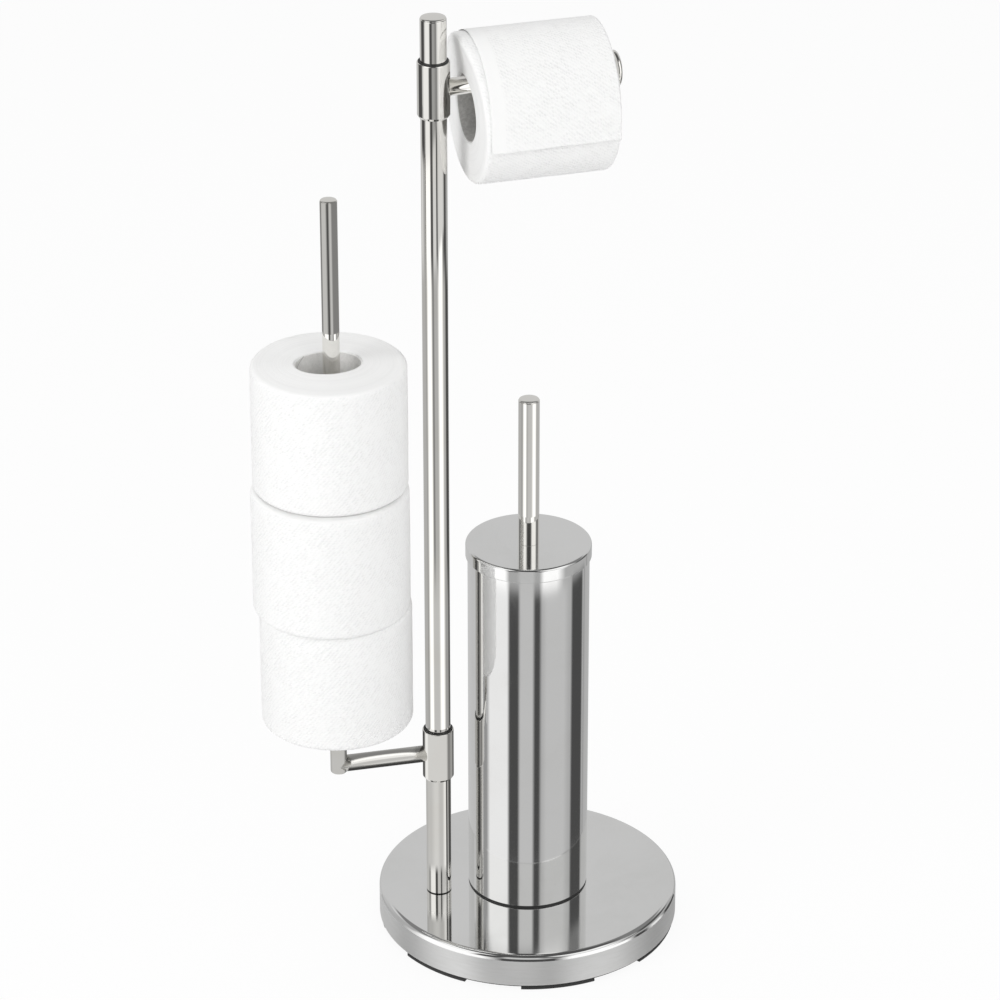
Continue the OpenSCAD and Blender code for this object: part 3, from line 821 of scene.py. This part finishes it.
def makeRollTree():
    floats = "Diameter Bore Width Edge Tail TailTurn Swell Slump Reach Squash Lip Seed"
    graph, given = newTree("rollTree", floats, "", "Side End")
    outer, bore, width = given.Diameter / 2, given.Bore, given.Width
    profile = graph.add("GeometryNodeCurvePrimitiveQuadrilateral", {"mode": "RECTANGLE"},
                        {"Width": outer - bore, "Height": width})
    rounding = (position(graph)[0] > 0.0) * (given.Edge - boreEdge) + boreEdge
    profile = graph.add("GeometryNodeFilletCurve", {"mode": "POLY"},
                        {"Curve": profile, "Radius": rounding, "Count": 10})
    sheet = grid(graph, acrossRoll, aroundRoll + 1)
    spot = position(graph)
    u, v = spot[0] + 0.5, spot[1] + 0.5
    sample = {"Curves": profile, "Factor": u}
    section = graph.add("GeometryNodeSampleCurve", {"mode": "FACTOR"}, sample, "Position").split()
    radius = section[0] + (outer + bore) / 2
    height = section[1] + width / 2
    angle = (v + given.TailTurn) * 2 * math.pi
    c, s = angle.cosine(), angle.sine()
    wound = (radius - bore) / (outer - bore)        # 0 at the core, 1 at the outside
    rumple = graph.noise(graph.vector(c * 1.2 + given.Seed, s * 1.2, height * 26.0), 1.0, 1.0) - 0.5
    ripple = graph.noise(graph.vector(c * 3.0, s * 3.0 + given.Seed, radius * 60.0), 1.0, 2.0) - 0.5
    spiral = (v - v.blend(1 - 1 / aroundRoll, 1.0)) * given.Tail * wound * wound
    r = radius + (rumple * 2 * given.Swell + spiral - given.Tail) * wound
    lean = (1 - c * radius / outer) * 0.5           # 0 under the roll, 1 on top of it
    lift = lean.power(4.0) * (1 - height.blend(0.0, given.Reach))
    inner = (1 - wound) * (1 - wound)
    lip = given.Lip * inner * (0.5 - s * 0.5) * height.blend(width * 0.8, width)
    z = height + ripple * 0.5 * mm * (0.5 - u).absolute() - given.Slump * lift + lip
    squashed = r * s * (1 - inner * given.Squash)
    roll = withPaperPlace(graph, sheet, radius * c, radius * s, height)
    roll = placed(graph, roll, r * c, squashed, z)
    roll = graph.add("GeometryNodeMergeByDistance", {}, {"Geometry": roll, "Distance": 0.00002})
    # what faces along the roll shows the wound edges
    facing = graph.add("GeometryNodeInputNormal").split()[2].absolute()
    x, y, z = position(graph)
    within = (x * x + y * y).root() < outer - given.Edge * 0.45
    ends = (facing > 0.55) * within
    return endTree(graph, roll, given.Side, ends, given.End)


def facingOut(piece):
    # the highest face of a closed piece points up
    mesh = piece.data
    top = max(mesh.polygons, key=lambda face: face.center.z)
    if top.normal.z < 0:
        mesh.flip_normals()


rollTree = makeRollTree()
core = {"outer": 25.15 * mm, "inner": 24.25 * mm, "edge": 0.3 * mm, "fit": 0.05 * mm, "seamSteps": 12,
        "around": 96}
hanging = {"start": 24.3 * mm, "diameter": 111.4 * mm, "width": 100.2 * mm, "coreInset": 0.5 * mm}
hangingCentreZ = sum(roundSize("hanging_core")[1:]) / 2
atRoll = (moved(*poleAxis, hangingCentreZ) @ Matrix.Rotation(upperTurn, 4, "Z")
          @ moved(hanging["start"], 0, 0) @ Matrix.Rotation(math.pi / 2, 4, "Y"))

# each roll's body, its paper and core in the frame, the core's name here, and its own numbers
rolls = {
    "hangingRoll": ("hanging_roll", "hanging_paper", "hanging_core", "hangingCore",
                    {"TailTurn": 0.30, "Slump": 7.0 * mm, "Seed": 1.0}),
    "spareRollLow": ("spare_roll_1", "spare_paper_1", "spare_core_1", "spareCoreLow",
                     {"TailTurn": 0.27, "Seed": 4.0}),
    "spareRollMiddle": ("spare_roll_2", "spare_paper_2", "spare_core_2", "spareCoreMiddle",
                        {"TailTurn": 0.15, "Seed": 7.0}),
    "spareRollHigh": ("spare_roll_3", "spare_paper_3", "spare_core_3", "spareCoreHigh",
                      {"TailTurn": 0.36, "Seed": 9.5, "Squash": 0.14, "Lip": 2.0 * mm}),
}


def makeRolls():
    for name, (body, paper, _, _, own) in rolls.items():
        r, foot, top = roundSize(paper)
        values = {**rollSizes, **own, "Diameter": 2 * r, "Width": top - foot,
                  "Bore": core["outer"] + core["fit"], "Side": paperSide, "End": paperEnd}
        where = moved(*axisOf(paper), foot)
        if body == "hanging_roll":
            values.update({"Diameter": hanging["diameter"], "Width": hanging["width"]})
            where = atRoll
        piece = grow(name, rollTree, values)
        facingOut(piece)
        settled(piece, body, [paper], where)


def coreOutline(length):
    outer, inner, edge, steps = core["outer"], core["inner"], core["edge"], core["seamSteps"]
    bore = [(inner, length - edge + (2 * edge - length) * i / steps) for i in range(1, steps)]
    return rounded(bore[-1], (inner, 0, edge, 3), (outer, 0, edge, 3), (outer, length, edge, 3),
                   (inner, length, edge, 3), *bore)


def makeCores():
    for body, _, coreNode, coreName, own in rolls.values():
        _, foot, top = roundSize(coreNode)
        length, where, material = top - foot, moved(*axisOf(coreNode), foot), paleCardboard
        if body == "hanging_roll":
            # the hanging core takes the darker cardboard, as painted shade
            length, material = hanging["width"] - 2 * hanging["coreInset"], shadedCardboard
            where = atRoll @ moved(0, 0, hanging["coreInset"])
        piece = turned(coreName, coreOutline(length), core["around"])
        spots = piece.data.attributes.new("paperPlace", "FLOAT_VECTOR", "POINT")
        for vertex, spot in zip(piece.data.vertices, spots.data):
            spot.vector = vertex.co
        pressed = Matrix.Diagonal((1.0, 1 - own.get("Squash", 0.0), 1.0, 1.0))
        finished(piece, body, material, [coreNode], where @ pressed)


makeRolls()
makeCores()
print("rolls wound")


# The hanging roll's loose outer turn

sheetSizes = {"Radius": 55.9 * mm, "Width": 96.5 * mm, "Drop": 14.0 * mm, "Back": math.radians(20.0),
              "Thickness": 0.2 * mm, "Flare": 1.4 * mm, "Wave": 0.7 * mm, "Jag": 0.7 * mm}
sheetStart = 2.4 * mm


def makeSheetTree():
    graph, given = newTree("sheetTree", "Radius Width Drop Back Thickness Flare Wave Jag")
    flat = grid(graph, 161, 81)
    spot = position(graph)
    u, across = spot[0] + 0.5, (spot[1] + 0.5) * given.Width
    wrap = (given.Back + math.pi) * given.Radius
    tear = graph.noise(graph.vector(across * 420.0, u * 3.0, 0.0), 1.0, 1.0) - 0.5
    along = (wrap + given.Drop) * u + tear * given.Jag * (u > 0.999)
    angle = along.atMost(wrap) / given.Radius + math.pi / 2 - given.Back
    fall = (along - wrap).atLeast(0.0)
    part = fall / given.Drop
    slack = graph.noise(graph.vector(along * 28.0, across * 28.0, 0.0), 1.0, 2.0) * 0.3 * mm
    wave = ((across * 95.0).sine() * 0.6 + (across * 41.0 + 1.0).sine()) * given.Wave * part
    out = given.Radius + slack
    x = out * angle.cosine() + fall
    y = out * angle.sine() - part * part * given.Flare - wave
    wound = along / given.Radius
    unrolledX, unrolledY = given.Radius * wound.cosine(), given.Radius * wound.sine()
    sheet = withPaperPlace(graph, flat, unrolledX, unrolledY, across)
    sheet = placed(graph, sheet, x, y, across)
    thick = graph.add("GeometryNodeExtrudeMesh", {"mode": "FACES"},
                      {"Mesh": sheet, "Offset Scale": given.Thickness, "Individual": False})
    under = graph.add("GeometryNodeFlipFaces", {}, {"Mesh": sheet})
    join = graph.tree.nodes.new("GeometryNodeJoinGeometry")
    graph.tree.links.new(thick.socket, join.inputs[0])
    graph.tree.links.new(under.socket, join.inputs[0])
    joined = Wire(graph, join.outputs[0])
    closed = graph.add("GeometryNodeMergeByDistance", {}, {"Geometry": joined, "Distance": 0.00001})
    return endTree(graph, closed, given.Material)


def makeSheet(sizes):
    piece = grow("looseSheet", makeSheetTree(), {**sizes, "Material": paperSheet})
    settled(piece, "upper_holder", ["hanging_sheet"], atRoll @ moved(0, 0, sheetStart))


makeSheet(sheetSizes)


# Brush: bristles set in rings round the head

bristleSizes = {"Rings": 16, "Round": 26, "Low": 50.0 * mm, "High": 112.0 * mm, "Inner": 10.0 * mm,
                "Outer": 35.5 * mm, "Thickness": 0.45 * mm, "Seed": 3}
tuftShape = {"sides": 5, "spread": 3.2, "root": 1.4, "droop": {"Min": 1.35, "Max": 1.75}}


def makeBristleTree():
    graph, given = newTree("bristleTree", "Low High Inner Outer Thickness", "Rings Round Seed")
    count = given.Rings * given.Round
    points = graph.add("GeometryNodePoints", {}, {"Count": count, "Position": (0, 0, 0)})
    index = graph.add("GeometryNodeInputIndex")
    ring = (index / given.Round + 0.001).floor()
    share = ring / (given.Rings - 1)
    turn = (index + (ring * 0.5)) * 2 * math.pi / given.Round
    height = given.Low + (given.High - given.Low) * share
    points = placed(graph, points, given.Inner * turn.cosine(), given.Inner * turn.sine(), height)
    tuft = graph.add("GeometryNodeMeshCone", {}, {
        "Vertices": tuftShape["sides"], "Radius Top": given.Thickness * tuftShape["spread"],
        "Radius Bottom": given.Thickness * tuftShape["root"], "Depth": given.Outer - given.Inner})
    droop = graph.add("FunctionNodeRandomValue", {"data_type": "FLOAT"},
                      {**tuftShape["droop"], "Seed": given.Seed}, "Value")
    tufts = graph.add("GeometryNodeInstanceOnPoints", {},
                      {"Points": points, "Instance": tuft, "Rotation": graph.vector(0.0, droop, turn)})
    return endTree(graph, tufts, given.Material)


def makeBristles(sizes):
    piece = grow("brushBristles", makeBristleTree(), {**sizes, "Material": bristleNylon})
    settled(piece, "brush", ["brush_bristles"])


makeBristles(bristleSizes)
print("sheet and bristles made")


# Studio

studio = {"floorReach": 14.0, "floorColour": grey(0.88), "floorGlow": 0.92, "fill": 0.57,
          "middle": (0, 0, 0.4)}


def makeFloor():
    far = studio["floorReach"]
    corners = [(-far, -far, 0), (far, -far, 0), (far, far, 0), (-far, far, 0)]
    piece = newPiece("floor", corners, [(0, 1, 2, 3)])
    material, graph, shader = startMaterial("floorPaint")
    shader.inputs["Base Color"].default_value = studio["floorColour"]
    shader.inputs["Roughness"].default_value = 1.0
    shader.inputs["Specular IOR Level"].default_value = 0.0
    path = graph.add("ShaderNodeLightPath", {}, {}, "Is Camera Ray")
    glossy = graph.also(path, "Is Glossy Ray")
    seen = path.atLeast(glossy).atLeast(graph.also(path, "Is Transmission Ray"))
    glow = graph.add("ShaderNodeEmission", {}, {"Color": (1, 1, 1, 1), "Strength": 1.0})
    matt = Wire(graph, shader.outputs[0])
    mix = graph.add("ShaderNodeMixShader", {}, {0: seen * studio["floorGlow"], 1: matt, 2: glow})
    graph.tree.links.new(mix.socket, material.node_tree.nodes["Material Output"].inputs["Surface"])
    piece.data.materials.append(material)
    piece.visible_glossy = False


# What the metal reflects: plain pale and dark cards, laid out round the room from the camera's own direction
# (degrees, right is positive). A curved reflector round the front carries them in rows by height.
bright, white, pale, mid, dim, dark = 1.30, 1.00, 0.62, 0.50, 0.25, 0.08


def cards(*parts, soft=2.5, end=180):
    # plain cards side by side: where each starts, how light it is, and half the width of its soft edge
    stops = [parts[0][:2]]
    for start, level, *edge in parts[1:]:
        half = edge[0] if edge else soft
        stops += [(start - half, stops[-1][1]), (start + half, level)]
    return stops + [(end, stops[-1][1])]


wallStripes = cards(
    (-180, pale), (-112, mid), (-100, 0.35, 4), (-80, white, 4), (-37, dark), (-17, pale), (9.5, dark),
    (22, mid), (29, pale, 5), (75, mid, 6), (87, dark), (119.5, mid))
wallBand = cards(
    (-180, pale), (-110, mid, 10), (-81, bright, 4), (-38, mid, 4), (-17, pale, 4), (10, mid),
    (23, bright, 4), (60, mid, 8))
wallMid = cards(
    (-180, pale), (-113, mid, 9), (-80, bright, 6), (-37, dark, 4), (-18, pale, 4), (17, dark, 4),
    (28, bright, 5), (67, dim, 6), (85, dark), (119.5, mid))
wallHigh = cards(
    (-180, mid), (-75, white, 6), (-37, dark, 4), (-17, 0.40), (5, dim, 8), (19, pale, 4), (28, white, 7),
    (72, pale, 12), (123, dim, 5))
skirtRow = cards((-180, pale), (-60, 0.70, 30), (10, pale, 30))
overhead = cards((-180, dim), (-89, bright, 5), (-34, dark, 6), (22, bright, 5), (85, dim, 5))
rimGlow = cards(
    (-180, mid), (-49, bright, 7), (-14, dark, 4), (13, bright, 3), (43.5, dark), (54, white), (64.5, dark),
    (88, mid, 7))
spindleGlow = cards((-180, dim), (-106, pale, 6), (-30, dark, 12), (4, pale, 10), (37, dim, 9))
spindleFoot = cards((-180, mid), (-105, pale, 15), (94, dim, 12), (125, dark, 15))
poleFoot = cards(
    (-180, mid), (-120, pale, 20), (-50, 0.75, 20), (5, pale, 12), (50, white, 12), (73.5, dark, 3.5),
    (92, pale, 5), (103, dark, 5))
poleBand = cards(
    (-180, mid), (-92, 0.40, 6), (-71, bright, 9), (-33, pale, 5), (28, bright, 8), (73, 0.40, 11),
    (120, dark, 12))
poleMid = cards(
    (-180, mid), (-90, 0.40, 5), (-71, bright, 9), (-27, dim, 7), (-8, mid, 5), (30, bright, 8), (71, mid, 9),
    (102, dark, 6))
sleeveGlow = cards(
    (-180, dark), (-113, white, 9), (-81, 0.75, 5), (73, dim, 8), (101, 0.40, 8), (130, dark, 10))
handleGlow = cards(
    (-180, mid), (-90, 0.40, 5), (-65, bright, 9), (-29, mid, 5), (-11, pale, 7), (38, bright, 9),
    (79, mid, 7), (148, pale, 16))
# low down in the room; the lid and the handle's foot show it twice reflected
handleFoot = cards(
    (-180, pale), (-123, dark, 5), (-72, bright, 14), (-24, dark, 10), (30, bright, 9), (83, dim, 8),
    (131, mid, 6))
# across the low arm as it is seen, from its under edge (-1) to its upper edge (1)
armGlow = cards(
    (-1, dark), (-0.80, 0.75), (-0.30, pale), (0.08, white), (0.34, bright), (0.56, dim), (0.88, 0.40),
    soft=0.06, end=1)
reflector = {
    "radius": 0.60, "low": -0.34, "high": 0.58, "sector": 125, "clearSides": (80, 86),
    "clearAbove": (0.415, 0.44),
    # each row: the heights between which it takes over from the one below, its cards, and a gain
    "rows": [(-0.280, -0.270, wallStripes, 1.0), (0.002, 0.024, wallBand, 1.0), (0.15, 0.21, wallMid, 1.0),
             (0.295, 0.315, wallStripes, 1.25), (0.415, 0.44, wallHigh, 1.0)],
}
# heights over the horizon, in degrees
room = {"wallTop": (33, 41), "backWall": 0.68, "backSides": (118, 130), "backFoot": (-6, 4),
        "backTop": (36, 41), "zenith": 0.10, "zenithFrom": (54, 62), "ground": 0.85, "groundFrom": (-46, -36)}
# Small cards close to the tubes and the rim keep the walls' stripes off them: the node they stand round,
# radius, degrees to each side, heights where they begin and end, the node's radius over the card's, and
# what they show.
closeCards = {
    "poleFootCard": ("pole_tube", 10.2 * mm, 86, (0.048, 0.058), (0.1316, 0.1318), 0.946, poleFoot),
    "sleeveCard": ("pole_tube", 12.5 * mm, 86, (0.1318, 0.1320), (0.1740, 0.1742), 0.96, sleeveGlow),
    "poleLowCard": ("pole_tube", 10.2 * mm, 86, (0.1772, 0.1774), (0.28, 0.34), 0.946, poleBand),
    "poleMidCard": ("pole_tube", 10.5 * mm, 86, (0.279, 0.28), (0.54, 0.58), 0.92, poleMid),
    "handleCard": ("handle_tube", 8.6 * mm, 86, (0.3500, 0.3506), (0.4444, 0.4446), 0.93, handleGlow),
    "spindleFootCard": ("roll_spindle", 7.2 * mm, 86, (0.12, 0.121), (0.189, 0.19), 0.889, spindleFoot),
    "spindleCard": ("roll_spindle", 7.2 * mm, 90, (0.5165, 0.5170), (0.659, 0.66), 0.889, spindleGlow),
    "rimCard": ("base_shell", 116.2 * mm, 80, (0.02575, 0.0258), (0.0278, 0.0279), 0.0, rimGlow),
}
armCard = {"radius": 7.2 * mm, "near": 0.889, "view": 28.7, "fromSpindle": 6.0 * mm, "fromPole": 11.5 * mm,
           "around": 90}


def cameraFrame(graph, vector):
    # degrees round from the camera's direction, and height
    x, y, z = vector.split()
    turn = math.radians(cameraSetup["turn"])
    right = x * math.cos(turn) + y * math.sin(turn)
    toward = x * math.sin(turn) - y * math.cos(turn)
    return right.angleTo(toward) * (180 / math.pi), z


def roundRamp(graph, table, azimuth, gain=1.0, near=0.0):
    # near: the tube's radius over the card's, where a card stands so close that direction and place differ
    def spotOf(at):
        half = math.radians(max(-150, min(150, at)) / 2)
        return math.degrees(2 * half - math.asin(near * math.sin(half))) if near else at

    stops = [((spotOf(at) + 180) / 360, grey(value * gain)) for at, value in table]
    return graph.add("ShaderNodeValToRGB", {"stops": stops}, {0: azimuth / 360 + 0.5}, "Color")


def onlyInMetal(piece, name, paint, clear=None):
    material, graph, _ = startMaterial(name)
    glow = graph.add("ShaderNodeEmission", {}, {"Color": paint(graph), "Strength": 1.0})
    if clear:
        through = graph.add("ShaderNodeBsdfTransparent", {}, {})
        glow = graph.add("ShaderNodeMixShader", {}, {0: clear(graph), 1: glow, 2: through})
    graph.tree.links.new(glow.socket, material.node_tree.nodes["Material Output"].inputs["Surface"])
    piece.data.materials.append(material)
    piece.visible_camera = False
    piece.visible_diffuse = False
    piece.visible_shadow = False
    piece.visible_transmission = False


def curvedCard(name, centre, radius, start, end, low, high):
    # its faces look at the axis
    steps = 80
    vertices = []
    for i in range(steps + 1):
        azimuth = start + (end - start) * i / steps
        angle = math.radians(azimuth + cameraSetup["turn"] - 90)
        x, y = centre[0] + radius * math.cos(angle), centre[1] + radius * math.sin(angle)
        vertices += [(x, y, low), (x, y, high)]
    return newPiece(name, vertices, strip(steps + 1, False))


def paintReflector(graph):
    azimuth, height = cameraFrame(graph, place(graph))
    shade = roundRamp(graph, skirtRow, azimuth)
    for start, end, table, gain in reflector["rows"]:
        shade = graph.mixColour(height.blend(start, end), shade, roundRamp(graph, table, azimuth, gain))
    return shade


def clearReflector(graph):
    # open to the dark room above its sides
    azimuth, height = cameraFrame(graph, place(graph))
    return azimuth.absolute().blend(*reflector["clearSides"]) * height.blend(*reflector["clearAbove"])


def makeReflector(sizes):
    sector = sizes["sector"]
    piece = curvedCard("reflector", (0, 0), sizes["radius"], -sector, sector, sizes["low"], sizes["high"])
    onlyInMetal(piece, "reflectorPaint", paintReflector, clearReflector)


def backOf(graph):
    return graph.add("ShaderNodeNewGeometry", {}, {}, "Backfacing")


def makeCards():
    for name, (node, radius, reach, rise, fade, near, table) in closeCards.items():
        axis = axisOf(node)
        piece = curvedCard(name, axis, radius, -reach, reach, rise[0], fade[1])

        def paintCard(graph):
            x, y, z = place(graph).split()
            azimuth = cameraFrame(graph, graph.vector(x - axis[0], y - axis[1], z))[0]
            return roundRamp(graph, table, azimuth, 1.0, near)

        def clearCard(graph):
            # nothing from outside, and fading out at both ends
            height = place(graph).split()[2]
            return backOf(graph).atLeast(height.blend(*fade)).atLeast(1 - height.blend(*rise))

        onlyInMetal(piece, name + "Paint", paintCard, clearCard)


def makeArmCard(sizes):
    # the same round the low arm, which lies level
    around, radius = sizes["around"], sizes["radius"]
    start, end = spindleAxis[0] + sizes["fromSpindle"], poleAxis[0] - sizes["fromPole"]
    vertices = []
    for i in range(around):
        angle = 2 * math.pi * i / around
        y, z = radius * math.cos(angle), lowerZ + radius * math.sin(angle)
        vertices += [(start, y, z), (end, y, z)]
    piece = newPiece("armCard", vertices, strip(around, True))

    def paintCard(graph):
        x, y, z = place(graph).split()
        angle = (z - lowerZ).angleTo(0 - y) * (180 / math.pi)
        stops = []
        for at, value in armGlow:
            half = math.asin(at)
            spot = sizes["view"] + math.degrees(2 * half - math.asin(sizes["near"] * at))
            stops.append(((spot + 180) / 360, grey(value)))
        return graph.add("ShaderNodeValToRGB", {"stops": stops}, {0: angle / 360 + 0.5}, "Color")

    onlyInMetal(piece, "armCardPaint", paintCard, backOf)


def makeRoom():
    world = bpy.data.worlds.new("room")
    scene.world = world
    world.use_nodes = True
    graph = Graph(world.node_tree)
    azimuth, up = cameraFrame(graph, graph.add("ShaderNodeTexCoord", {}, {}, "Generated"))
    height = up.maths("ARCSINE") * (180 / math.pi)
    behind = azimuth.absolute().blend(*room["backSides"])
    back = behind * height.blend(*room["backFoot"]) * (1 - height.blend(*room["backTop"]))
    ground = 1 - height.blend(*room["groundFrom"])
    low = graph.mixColour(ground, roundRamp(graph, handleFoot, azimuth), grey(room["ground"]))
    seenInMetal = graph.mixColour(height.blend(*room["wallTop"]), low, roundRamp(graph, overhead, azimuth))
    seenInMetal = graph.mixColour(back, seenInMetal, grey(room["backWall"]))
    seenInMetal = graph.mixColour(height.blend(*room["zenithFrom"]), seenInMetal, grey(room["zenith"]))
    path = graph.add("ShaderNodeLightPath", {}, {}, "Is Camera Ray")
    plain = path.atLeast(graph.also(path, "Is Transmission Ray"))
    shade = graph.mixColour(graph.also(path, "Is Glossy Ray"), grey(studio["fill"]), seenInMetal)
    shade = graph.mixColour(plain, shade, (1, 1, 1, 1))
    graph.tree.links.new(shade.socket, world.node_tree.nodes["Background"].inputs["Color"])


# Lamps by direction round the room from the camera's own, height and distance from the object's middle
studioLamps = {
    "key": {"azimuth": -55.0, "height": 22.0, "away": 2.3, "width": 1.2, "tall": 1.7, "power": 17.8},
    "front": {"azimuth": 14.0, "height": 28.0, "away": 2.8, "width": 2.0, "tall": 1.6, "power": 20.2},
    "right": {"azimuth": 85.0, "height": 20.0, "away": 2.4, "width": 1.6, "tall": 1.6, "power": 10.0},
    "top": {"azimuth": -150.0, "height": 66.0, "away": 2.4, "width": 1.8, "tall": 1.8, "power": 11.0},
}


def makeLamps():
    aim = Vector(studio["middle"])
    for name, lamp in studioLamps.items():
        data = bpy.data.lights.new(name, "AREA")
        data.shape = "RECTANGLE"
        data.size = lamp["width"]
        data.size_y = lamp["tall"]
        data.energy = lamp["power"]
        light = bpy.data.objects.new(name, data)
        angle = math.radians(lamp["azimuth"] + cameraSetup["turn"] - 90)
        level = math.radians(lamp["height"])
        flat = math.cos(level)
        reach = Vector((math.cos(angle) * flat, math.sin(angle) * flat, math.sin(level)))
        light.location = aim + reach * lamp["away"]
        light.rotation_euler = (-reach).to_track_quat("-Z", "Y").to_euler()
        light.visible_camera = False
        light.visible_glossy = False
        scene.collection.objects.link(light)


makeFloor()
makeReflector(reflector)
makeCards()
makeArmCard(armCard)
makeRoom()
makeLamps()
print("studio lit")
